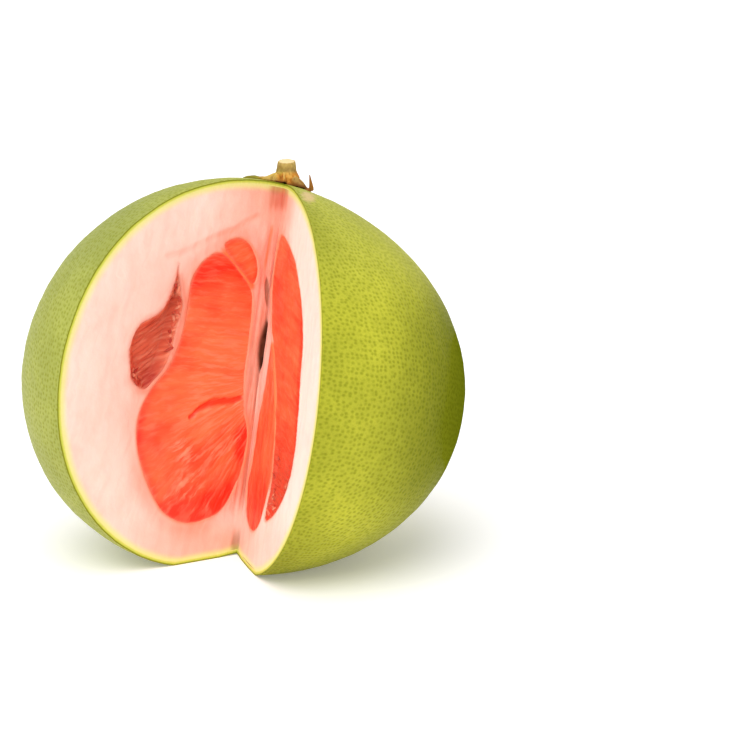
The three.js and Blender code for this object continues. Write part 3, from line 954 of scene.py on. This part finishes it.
def edge_pair(line, rows):
    """The two sides of an outline, at heights packed closer towards its two ends."""
    low, high = int(np.argmin(line[:, 1])), int(np.argmax(line[:, 1]))
    order = np.roll(np.arange(len(line)), -low)
    turn = int(np.where(order == high)[0][0])
    one, two = line[order[:turn + 1]], line[np.append(order[turn:], low)][::-1]
    t = np.linspace(0, 1, rows)
    t = 0.35 * t + 0.65 * (0.5 - 0.5 * np.cos(np.pi * t))
    v = line[low, 1] + t * (line[high, 1] - line[low, 1])
    sides = [np.interp(v, np.maximum.accumulate(s[:, 1]), s[:, 0]) for s in (one, two)]
    return v, np.minimum(*sides), np.maximum(*sides)


def flesh_piece(name, node, material, face, outline, surface, depth, grid):
    """A block of flesh behind a cut face, with a finely modelled front."""
    out, inward = (LEFT_OUT, LEFT_INWARD) if face == "left" else (RIGHT_OUT, RIGHT_INWARD)
    line = rounded(outline)
    rows, columns = grid
    v, near, far = edge_pair(line, rows)
    u = (near + (far - near) * np.linspace(0, 1, columns)[:, None]).ravel()
    v = np.tile(v, columns)
    sizes, _ = fruit_settings()
    inside = np.maximum(depth_inside(u, v, line), 0)
    height, values, across, along = surface(u, v, inside, sizes)
    layers = [on_face(out, u, v) - height[:, None] * inward]
    numbers = np.arange(len(u)).reshape(columns, rows)
    loop = np.concatenate([numbers[:-1, 0], numbers[-1, :-1], numbers[:0:-1, -1], numbers[0, :0:-1]])
    rim, middle = side_by_side(u, v)[loop], np.array([u.mean(), v.mean()])
    quads = [grid_quads(columns, rows)]
    start, last = len(u), loop
    for share, scale in ((0.35, 0.98), (0.7, 0.93), (1.0, 0.82), (1.0, 0.0)):
        ring = middle + (rim - middle) * scale
        layers.append(on_face(out, ring[:, 0], ring[:, 1]) + depth * share * inward)
        here = start + np.arange(len(loop))
        quads.append(side_by_side(last, here, np.roll(here, -1), np.roll(last, -1)))
        start, last = start + len(loop), here
    spare = start - len(u)
    values = {"gap": 0 * u, "dry": 0 * u, **values}
    values = {k: np.concatenate([a, np.zeros(spare)]) for k, a in values.items()}
    grain = np.concatenate([side_by_side(across, along) / 10, np.zeros((spare, 2))])
    piece = make_piece(name, np.concatenate(layers), np.concatenate(quads), material, values, grain, sharp=65)
    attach(piece, "root")
    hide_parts(node)
    return piece


def sac_surface(sizes, across, along, inside, flat, seed, relief, edge_drop=0.12):
    """Height of a cut through juice sacs, their bodies and each sac's own number."""
    bend = 0.8 * soft_noise(flat, 7, seed + 40, 2)
    wall, own = sac_pattern((across + bend) / (sizes.sac_width / MM), along / (sizes.sac_length / MM), seed)
    body = smooth(0, 0.55, wall)
    height = relief * body * (0.75 + 0.5 * own) + 0.35 * soft_noise(flat, 8, seed + 41, 2)
    return height - edge_drop * (1 - smooth(0, 1.3, inside)) - 0.03, body, own


def large_surface(u, v, inside, sizes):
    """The kidney-shaped segment: its sacs fan out low down, and a crack runs across it."""
    flat = side_by_side(u, v, 0 * u)
    turn = np.arctan2(np.maximum(FAN_V - v, 0), u - FAN_U)
    far = np.where(v > FAN_V, u - FAN_U, np.hypot(u - FAN_U, FAN_V - v))
    across = np.where(v > FAN_V, v, FAN_V - FAN_SPREAD * turn)
    height, body, own = sac_surface(sizes, across, far, inside, flat, 50, sizes.sac_relief / MM)
    crack = segment_distance(u, v, CRACK, closed=False) + 0.25 * soft_noise(flat, 1.5, 61)
    gape = 0.7 + 0.7 * smooth(27, 18, u) * smooth(5, 12, u)
    # Painted shade along the crack, which is also sunk.
    gap = smooth(1.6 * gape, 0.4 * gape, crack)
    torn = smooth(-0.1, 0.7, soft_noise(flat, 9, 66, 2)) * smooth(50, 42, v) * smooth(12, 22, v)
    for patch_u, patch_v in PALE_PATCHES:
        torn = np.maximum(torn, smooth(5.5, 1.5, np.hypot(u - patch_u, (v - patch_v) / 0.7)))
    height += torn * (0.35 * own - 0.1) - 1.1 * gap
    ends = smooth(90, 106, v + 0.25 * (u - 20)) + smooth(26, 13, v + 0.25 * (u - 20))
    knot = smooth(6.5, 1.5, np.hypot(u - 3.0, (v - 41) / 1.6))
    centre = smooth(0.9, 0.2, np.abs(v - 60) / 36) * smooth(36, 18, u)
    ripe = 0.28 + 0.78 * ends + 0.75 * knot + 0.3 * smooth(4, 0.5, inside) * smooth(30, 42, u)
    ripe += 0.26 * soft_noise(flat, 11, 71, 2) + 0.13 * soft_noise(flat, 4.5, 72, 2)
    ripe += 0.16 * (own - 0.5) + 0.28 * smooth(56, 38, v) - 0.36 * centre
    return height, {
        "ripe": ripe, "pale": 0.08 + 0.5 * torn + 0.05 * (1 - body) + 0.22 * centre, "gap": gap,
        "film": 0.4 * smooth(0.9, 0.0, inside)}, across, far


def tip_surface(u, v, inside, sizes):
    """The small lobe above the large segment."""
    flat, across, far = side_by_side(u, v, 0 * u + 9), v + 0.5 * u, u - 0.5 * v
    height, _, own = sac_surface(sizes, across, far, inside, flat, 51, 0.6 * sizes.sac_relief / MM)
    ripe = 0.36 + 0.3 * smooth(3, 0, inside) + 0.12 * (own - 0.5) + 0.2 * soft_noise(flat, 6, 73, 2)
    return height, {"ripe": ripe, "pale": 0.1 + 0 * u, "film": 0.35 * smooth(1.0, 0.0, inside)}, across, far


def outer_surface(u, v, inside, sizes):
    """The long crescent, dried and sunken low down."""
    flat, across, far = side_by_side(u, v, 0 * u + 20), v + 0.15 * u, u
    dry = smooth(64, 32, v - 0.18 * (u - 40) + 4 * soft_noise(flat, 7, 62))
    rough = 0.8 + 1.6 * dry * smooth(0.3, 2.4, inside)
    height, body, own = sac_surface(sizes, across, far, inside, flat, 52, sizes.sac_relief / MM * rough)
    slit = smooth(2.4, 0.5, inside) * smooth(32, 24, u) * smooth(56, 63, v) * smooth(84, 78, v)
    height -= dry * smooth(0, 3.5, inside) * (1.3 - 0.4 * own * body) + 0.8 * slit
    ripe = 0.56 + 0.4 * smooth(5.5, 1, inside) * smooth(34, 52, u) + 0.2 * (own - 0.5) + 0.1 * dry
    ripe += 0.22 * soft_noise(flat, 9, 74, 2)
    pit = smooth(3.2, 0.8, np.hypot(u - 34.4, (v - 20.5) / 1.2))
    # Painted shade in the slit, the small pit and between the dried sacs.
    return height, {
        "ripe": ripe, "pale": 0.06 + 0.12 * dry * (1 - own), "dry": dry,
        "gap": 0.95 * slit + 0.3 * dry * (1 - body) + 0.6 * pit,
        "film": 0.3 * smooth(0.9, 0.0, inside) * (1 - slit),
        "loose": smooth(48, 30, v) * smooth(0.6, 1.6, inside) * smooth(5.0, 2.5, inside)}, across, far


def inner_surface(u, v, inside, sizes):
    """The narrow segment beside the core, reddest at its foot."""
    flat, across = side_by_side(u, v, 0 * u + 33), u + 0.1 * v
    height, _, own = sac_surface(sizes, across, v * 1.2, inside, flat, 53, 0.8 * sizes.sac_relief / MM)
    ripe = 0.48 + 0.45 * smooth(36, 20, v) + 0.15 * (own - 0.5) + 0.2 * soft_noise(flat, 8, 75, 2)
    return height, {
        "ripe": ripe, "pale": 0.08 + 0.15 * smooth(50, 70, v),
        "film": 0.3 * smooth(0.9, 0.0, inside)}, across, v


def bed_surface(u, v, inside, sizes):
    """The shrunken bed at the back of the dried hollow."""
    flat, across, far = side_by_side(u, v, 0 * u + 60), 0.8 * v + 0.6 * u, 0.8 * u - 0.6 * v
    height, body, own = sac_surface(sizes, across, far, inside, flat, 54, 0.16, edge_drop=0.3)
    height -= sizes.hollow_depth / MM * smooth(0.0, 3.2, inside) * (0.75 + 0.25 * smooth(60, 78, v))
    height += 0.2 * own * body * smooth(0.5, 2.5, inside)
    # Painted shade: the walls between the sacs darken in both the ripe and gap masks.
    ripe = 0.1 + 0.2 * (1 - body) + 0.16 * (own - 0.5) + 0.4 * smooth(84, 96, v) + 0.65 * smooth(72, 61, v)
    ripe += 0.3 * smooth(2.2, 0.6, inside) * smooth(44, 50, u) + 0.3 * soft_noise(flat, 5, 76, 2)
    ragged = smooth(2.6, 0.3, inside) * smooth(42, 38, u - 0.12 * (v - 80))
    ragged += smooth(4.5, 1, np.hypot(u - 50.5, v - 62))
    return height, {
        "ripe": ripe, "pale": 0.15 + 0.5 * ragged, "gap": 0.2 * (1 - body),
        "film": 0.45 * smooth(1.0, 0.0, inside),
        "loose": clipped(ragged - 0.15) * smooth(0.2, 0.9, inside)}, across, far


def loose_sacs_tree():
    """Small shrunken juice sacs, strewn where a bed's own loose mask is high."""
    found = bpy.data.node_groups.get("Loose sacs")
    if found:
        return found
    tree, given, result = new_group(
        "Loose sacs", "GeometryNodeTree",
        [("Bed", "Geometry"), ("Number", "Float"), ("Length", "Float"), ("Width", "Float"), ("Seed", "Int"),
         ("Material", "Material")], [("Sacs", "Geometry")])

    def random_vector(low, high, seed):
        return add(tree, "FunctionNodeRandomValue", {"Min": low, "Max": high, "Seed": seed},
                   data_type="FLOAT_VECTOR").outputs["Value"]

    mask = add(tree, "GeometryNodeInputNamedAttribute", {"Name": "loose"}, data_type="FLOAT")
    density = times(tree, mask.outputs["Attribute"], given["Number"])
    spread = add(tree, "GeometryNodeDistributePointsOnFaces", {
        "Mesh": given["Bed"], "Density": density, "Seed": given["Seed"]})
    ball = add(tree, "GeometryNodeMeshUVSphere", {"Segments": 8, "Rings": 6, "Radius": 0.5}).outputs["Mesh"]
    place = add(tree, "GeometryNodeInputPosition").outputs[0]
    taper = math_of(tree, "ADD", add(tree, "ShaderNodeSeparateXYZ", {0: place}).outputs["X"], 0.75)
    slim = add(tree, "ShaderNodeCombineXYZ", {"X": 1.0, "Y": taper, "Z": taper}).outputs[0]
    drawn = add(tree, "ShaderNodeVectorMath", {0: place, 1: slim}, operation="MULTIPLY").outputs[0]
    drop = add(tree, "GeometryNodeSetPosition", {"Geometry": ball, "Position": drawn})
    size = add(tree, "ShaderNodeCombineXYZ", {
        "X": given["Length"], "Y": given["Width"], "Z": given["Width"]}).outputs[0]
    sac = add(tree, "GeometryNodeTransform", {"Geometry": drop.outputs[0], "Scale": size}).outputs[0]
    laid = add(tree, "GeometryNodeInstanceOnPoints", {
        "Points": spread.outputs["Points"], "Instance": sac, "Rotation": spread.outputs["Rotation"],
        "Scale": random_vector((0.6, 0.6, 0.6), (1.3, 1.1, 0.9), 11)})
    turned = add(tree, "GeometryNodeRotateInstances", {
        "Instances": laid.outputs[0], "Rotation": random_vector((-0.4, -0.4, 0.0), (0.4, 0.4, 6.28), 12)})
    numbers = add(tree, "FunctionNodeRandomValue", {"Seed": 13}, data_type="FLOAT")
    own = [socket for socket in numbers.outputs if socket.enabled][0]
    named = add(tree, "GeometryNodeStoreNamedAttribute", {"Geometry": turned.outputs[0], "Name": "own"},
                data_type="FLOAT", domain="INSTANCE")
    tree.links.new(own, [i for i in named.inputs if i.name == "Value" and i.enabled][0])
    whole = add(tree, "GeometryNodeRealizeInstances", {0: named.outputs[0]})
    done = add(tree, "GeometryNodeSetMaterial", {"Geometry": whole.outputs[0], "Material": given["Material"]})
    tree.links.new(done.outputs[0], result["Sacs"])
    return tree


def loose_sacs(name, bed, node, colours, sizes, share):
    """Strews loose sacs over a bed and keeps them as a plain mesh of their own."""
    tree = loose_sacs_tree()
    strewn = new_object(name, bed.data)
    modifier = strewn.modifiers.new("Loose sacs", "NODES")
    modifier.node_group = tree
    given = {
        "Number": sizes.loose_number * share, "Length": sizes.loose_length, "Width": sizes.loose_width,
        "Seed": sizes.seed, "Material": sac_material(colours),
    }
    for item in tree.interface.items_tree:
        if item.item_type == "SOCKET" and item.in_out == "INPUT" and item.name in given:
            modifier[item.identifier] = given[item.name]
    graph = bpy.context.evaluated_depsgraph_get()
    mesh = bpy.data.meshes.new_from_object(
        strewn.evaluated_get(graph), preserve_all_data_layers=True, depsgraph=graph)
    strewn.modifiers.remove(modifier)
    mesh.name = name
    strewn.data = mesh
    mesh.shade_smooth()
    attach(strewn, "root")
    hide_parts(node)


class POMELO_OT_flesh(Operator):
    """Build the red flesh of the segments that the cut opened"""

    bl_idname = "pomelo.flesh"
    bl_label = "Flesh"

    def execute(self, context):
        sizes, colours = fruit_settings()
        fresh = flesh_material(
            "Juicy flesh", colours, ("flesh", "flesh_deep", "flesh_pale"), rough=0.34, gleam=0.4, depth=0.004)
        pieces = {}
        for node, face, outline, surface, depth, grid in (
                ("flesh_left_large", "left", LEFT_LARGE, large_surface, SEGMENT_DEPTH, (420, 190)),
                ("flesh_left_tip", "left", LEFT_TIP, tip_surface, TIP_DEPTH, (110, 80)),
                ("flesh_right_outer", "right", RIGHT_OUTER, outer_surface, SEGMENT_DEPTH, (360, 110)),
                ("flesh_right_inner", "right", RIGHT_INNER, inner_surface, SEGMENT_DEPTH, (260, 100))):
            pieces[node] = flesh_piece(f"{node}_cut", node, fresh, face, outline, surface, depth, grid)
        loose_sacs("flesh_right_outer_sacs", pieces["flesh_right_outer"], "flesh_right_outer", colours,
                   sizes, LOOSE_SHARE_RIGHT)
        return {"FINISHED"}


class POMELO_OT_hollow(Operator):
    """Build the dried flesh at the back of the hollow, with its loose shrunken sacs"""

    bl_idname = "pomelo.hollow"
    bl_label = "Dried hollow"

    def execute(self, context):
        sizes, colours = fruit_settings()
        dried = flesh_material(
            "Dried flesh", colours, ("dry_flesh", "dry_dark", "flesh_pale"), rough=0.46, gleam=0.12, depth=0.0015)
        bed = flesh_piece("flesh_left_hollow_bed", "flesh_left_hollow", dried, "left", LEFT_HOLLOW,
                          bed_surface, BED_DEPTH, (260, 120))
        loose_sacs("flesh_left_hollow_sacs", bed, "flesh_left_hollow", colours, sizes, 1.0)
        return {"FINISHED"}


def calyx_piece(stem, sizes, material):
    """A lobed disc that lies on the skin, folded along its rays."""
    around, rings = CALYX_GRID
    angle = np.linspace(0, 360, around)
    turn = np.radians(angle)
    reach = np.full(around, stem.calyx_round / MM)
    for degrees, beyond, half in CALYX_LOBES:
        away = np.abs((angle - degrees + 540) % 360 - 180) / half
        reach = np.maximum(reach, stem.calyx_round / MM + beyond * clipped(1 - away) ** 0.65)
    reach = reach * (1 + 0.05 * soft_noise(side_by_side(4 * np.cos(turn), 4 * np.sin(turn), 0 * turn), 0.9, 5))
    f = np.linspace(0, 1, rings)
    x = (STALK_X + (np.cos(turn) * reach)[:, None] * f).ravel()
    y = (STALK_Y + (np.sin(turn) * reach)[:, None] * f).ravel()
    share, flat = np.tile(f, around), side_by_side(x, y, 0 * x)
    west = smooth(STALK_X - 2.5, STALK_X - 8, x)
    folds = np.cos(8 * np.repeat(turn, rings) + 2.5 * soft_noise(flat, 3, 8))
    folds *= smooth(0.2, 0.5, share) * smooth(1.05, 0.85, share)
    rise = CALYX_EDGE + (stem.calyx_thickness / MM - CALYX_EDGE) * (1 - share**1.7)
    rise += 0.35 * soft_noise(flat, 1.8, 9, 2) * smooth(0.2, 0.6, share)
    rise += (0.95 * folds + 0.5 * smooth(0.8, 1.0, share) * soft_noise(flat, 3.1, 14)) * (1 - 0.7 * west)
    rise = rise * (1 - 0.55 * west) + 0.1 * west
    rise += 0.5 * smooth(STALK_X - 9, STALK_X - 11.5, x) * smooth(1.0, 0.88, share)
    skin = top_of_body(x, y, sizes)
    under = np.where((share > 0.75) & (west < 0.9), rise - LOBE_THICKNESS, -CALYX_SUNK)
    points = np.concatenate([side_by_side(x, y, skin + rise), side_by_side(x, y, skin + under)])
    count = around * rings
    last = np.arange(around - 1) * rings + rings - 1
    quads = np.concatenate([
        grid_quads(around, rings), grid_quads(around, rings, count, flip=True),
        side_by_side(last, last + rings, last + rings + count, last + count)])
    green = 0.4 * smooth(STALK_X - 1, STALK_X - 5, x) + 0.5 * smooth(STALK_X - 8.5, STALK_X - 10.5, x)
    green += 0.2 * smooth(0.5, 0.2, share)
    # Painted shade: the lobe edges, the creases between folds, the right side, the far left lobe and the whole
    # underside darken.
    shade = 0.4 * smooth(0.88, 1.0, share) * (1 - west) + 0.45 * smooth(0, -0.8, folds) * (1 - west)
    shade += 0.55 * smooth(STALK_X, STALK_X + 4, x) * smooth(0.4, 0.75, share)
    shade += 0.35 * smooth(STALK_X - 9, STALK_X - 12, x)
    # Painted highlight on the fold tops, with paler straw in a band left of the stalk.
    ridge = smooth(0.1, 0.9, folds) * (1 - 0.6 * west)
    ridge += 0.8 * smooth(STALK_X - 2, STALK_X - 4, x) * smooth(STALK_X - 9, STALK_X - 7, x)
    values = {
        "calyx": np.ones(2 * count), "green": np.tile(green, 2), "cut": np.zeros(2 * count),
        "shade": np.append(shade, np.ones(count)), "ridge": np.append(ridge, np.zeros(count)),
    }
    return make_piece("calyx", points, quads, material, values, sharp=70)


def stub_piece(stem, sizes, material):
    """Ridged bark, with a pale rough cut on top."""
    base = float(top_of_body(np.array([STALK_X]), np.array([STALK_Y]), sizes)[0])
    columns, rows = STUB_GRID
    profile = np.array(STUB_PROFILE)
    t, stops = np.linspace(0, len(profile) - 1, rows), range(len(profile))
    scale, level = (np.interp(t, stops, profile[:, k]) for k in (0, 1))
    scale, level = np.tile(scale, columns), np.tile(level, columns)
    angle = np.linspace(0, 2 * math.pi, columns)
    across, ahead = np.repeat(side_by_side(np.cos(angle), np.sin(angle)), rows, axis=0).T
    r, z = scale * stem.stalk_radius / MM, level * (stem.stalk_height / MM / profile[:, 1].max())
    place = side_by_side(across * 3, ahead * 3, z * 0.5)
    side = smooth(0.8, 0.98, scale)
    bark = soft_noise(place, 1.1, 2, 2)
    r = r * (1 + side * (0.07 * bark + 0.03 * soft_noise(place, 0.5, 3)))
    top_face = smooth(0.95, 0.8, scale) * smooth(8, 8.6, z)
    z = z + top_face * 0.55 * soft_noise(side_by_side(across * r, ahead * r, z), 1.3, 6, 2)
    z = z + 0.13 * smooth(6, 8.5, z) * ahead * r
    points = side_by_side(STALK_X + 0.1 + 0.04 * z + across * r, STALK_Y + ahead * r, base + z)
    values = {
        "calyx": smooth(6, 4.2, z), "green": 0.4 * smooth(7.5, 5, z) * smooth(0.3, -0.5, across),
        "shade": 0.35 * smooth(5.0, 5.8, z) * smooth(7.2, 6.2, z), "cut": top_face * 1.3,
        "ridge": 0.5 * side * smooth(0.1, 0.6, bark),
    }
    return make_piece("stalk_stub", points, grid_quads(columns, rows), material, values, sharp=80)


def sepal_piece(sizes, material):
    """A dry sepal on the right of the calyx that curls up at its end."""
    columns, rows = SEPAL_GRID
    path = np.array(SEPAL_PATH)
    t = np.linspace(0, len(path) - 1, rows)
    spine = side_by_side(*(np.interp(t, range(len(path)), path[:, k]) for k in range(3)))
    for _ in range(3):
        spine[1:-1] = (spine[:-2] + 2 * spine[1:-1] + spine[2:]) / 4
    share = np.linspace(0, 1, rows)
    width = np.interp(share, [0, 0.35, 0.62, 1], [2.3, 2.0, 1.0, 0.2])[:, None]
    thick = np.interp(share, [0, 0.4, 1], [0.55, 0.4, 0.1])[:, None]
    across = np.array([0.75, 0.66, 0.0])
    normal = of_length_one(np.cross(of_length_one(np.gradient(spine, axis=0)), across))
    ground = top_of_body(STALK_X + spine[:, 0], STALK_Y + spine[:, 1], sizes)
    foot = side_by_side(STALK_X + 0 * t, STALK_Y + 0 * t, ground)
    tube = np.stack([foot + spine + across * width * math.cos(a) + normal * thick * math.sin(a)
                     for a in np.linspace(0, 2 * math.pi, columns)])
    ends = [np.repeat(tube[:, at:at + 1].mean(0)[None], columns, 0) for at in (0, rows - 1)]
    points = np.concatenate([ends[0], tube, ends[1]], axis=1).reshape(-1, 3)
    masks = {"calyx": 1.0, "green": 0.0, "shade": 0.6, "cut": 0.0, "ridge": 0.0}
    values = {k: np.full(len(points), amount) for k, amount in masks.items()}
    return make_piece("curled_sepal", points, grid_quads(columns, rows + 2), material, values, sharp=80)


class POMELO_OT_stem(Operator):
    """Build the stalk stub, its lobed calyx and the curled dry sepal"""

    bl_idname = "pomelo.stem"
    bl_label = "Stem"

    def execute(self, context):
        sizes, colours = fruit_settings()
        stem = context.scene.pomelo_stem
        material = stem_material(colours)
        for piece in (calyx_piece(stem, sizes, material), stub_piece(stem, sizes, material),
                      sepal_piece(sizes, material)):
            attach(piece, "root")
            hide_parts("stem")
        return {"FINISHED"}


def aimed(name, data, direction):
    """An object that looks along a direction."""
    thing = new_object(name, data)
    thing.rotation_mode = "QUATERNION"
    thing.rotation_quaternion = Vector(direction).to_track_quat("-Z", "Y")
    return thing


class POMELO_OT_stage(Operator):
    """Set the white floor, soft light and the camera"""

    bl_idname = "pomelo.stage"
    bl_label = "Stage"

    def execute(self, context):
        scene = context.scene
        stage = scene.pomelo_stage
        half = stage.floor_size / 2
        mesh = bpy.data.meshes.new("floor")
        corners = [(-half, -half, 0), (half, -half, 0), (half, half, 0), (-half, half, 0)]
        mesh.from_pydata(corners, [], [(0, 1, 2, 3)])
        mesh.materials.append(stage_material())
        floor = new_object("floor", mesh)

        world = bpy.data.worlds.new("Studio air")
        world.use_nodes = True
        tree = world.node_tree
        background = tree.nodes["Background"].inputs
        background["Color"].default_value = (1, 1, 1, 1)
        way = add(tree, "ShaderNodeSeparateXYZ", {0: add(tree, "ShaderNodeTexCoord").outputs["Generated"]})
        light = add(tree, "ShaderNodeMapRange", {
            "Value": way.outputs["X"], "From Min": -0.7, "From Max": 0.9, "To Min": stage.sky_left,
            "To Max": stage.sky_right}, interpolation_type="SMOOTHSTEP")
        tree.links.new(light.outputs["Result"], background["Strength"])
        scene.world = world

        for name, direction, energy, spread in (("top", (0.05, -0.1, -1.0), stage.top, 40),
                                                ("front", (0.14, 0.58, -0.8), stage.front, 46)):
            sun = bpy.data.lights.new(name, "SUN")
            sun.energy = energy
            sun.angle = math.radians(spread)
            aimed(name, sun, direction)

        ahead = np.array([0, math.cos(CAMERA_TILT), -math.sin(CAMERA_TILT)])
        camera = bpy.data.cameras.new("camera")
        camera.lens = CAMERA_LENS
        camera.sensor_width = CAMERA_SENSOR
        camera.clip_end = CAMERA_REACH
        eye = aimed("camera", camera, ahead)
        eye.location = Vector((CAMERA_AIM - ahead * CAMERA_DISTANCE) * MM)
        scene.camera = eye
        scene.view_settings.view_transform = "Standard"
        return {"FINISHED"}


STEPS = ("rind", "pith", "flesh", "hollow", "stem", "stage")


class POMELO_PT_panel(Panel):
    """Lists the steps and sizes in the sidebar"""

    bl_idname = "POMELO_PT_panel"
    bl_label = "Cut pomelo"
    bl_space_type = "VIEW_3D"
    bl_region_type = "UI"
    bl_category = "Pomelo"

    def draw(self, context):
        for step in STEPS:
            self.layout.operator(f"pomelo.{step}")
        for group in ("pomelo_sizes", "pomelo_stem", "pomelo_colours", "pomelo_stage"):
            settings = getattr(context.scene, group)
            for name in settings.bl_rna.properties.keys():
                if name not in ("rna_type", "name"):
                    self.layout.prop(settings, name)


CLASSES = (
    FruitSizes, StemSizes, FruitColours, StageSettings, POMELO_OT_rind, POMELO_OT_pith, POMELO_OT_flesh,
    POMELO_OT_hollow, POMELO_OT_stem, POMELO_OT_stage, POMELO_PT_panel,
)


def register():
    for item in CLASSES:
        bpy.utils.register_class(item)
    bpy.types.Scene.pomelo_sizes = PointerProperty(type=FruitSizes)
    bpy.types.Scene.pomelo_stem = PointerProperty(type=StemSizes)
    bpy.types.Scene.pomelo_colours = PointerProperty(type=FruitColours)
    bpy.types.Scene.pomelo_stage = PointerProperty(type=StageSettings)


def unregister():
    for name in ("pomelo_sizes", "pomelo_stem", "pomelo_colours", "pomelo_stage"):
        delattr(bpy.types.Scene, name)
    for item in reversed(CLASSES):
        bpy.utils.unregister_class(item)


def main():
    register()
    for step in STEPS:
        getattr(bpy.ops.pomelo, step)()
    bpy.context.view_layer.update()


if __name__ == "__main__":
    main()
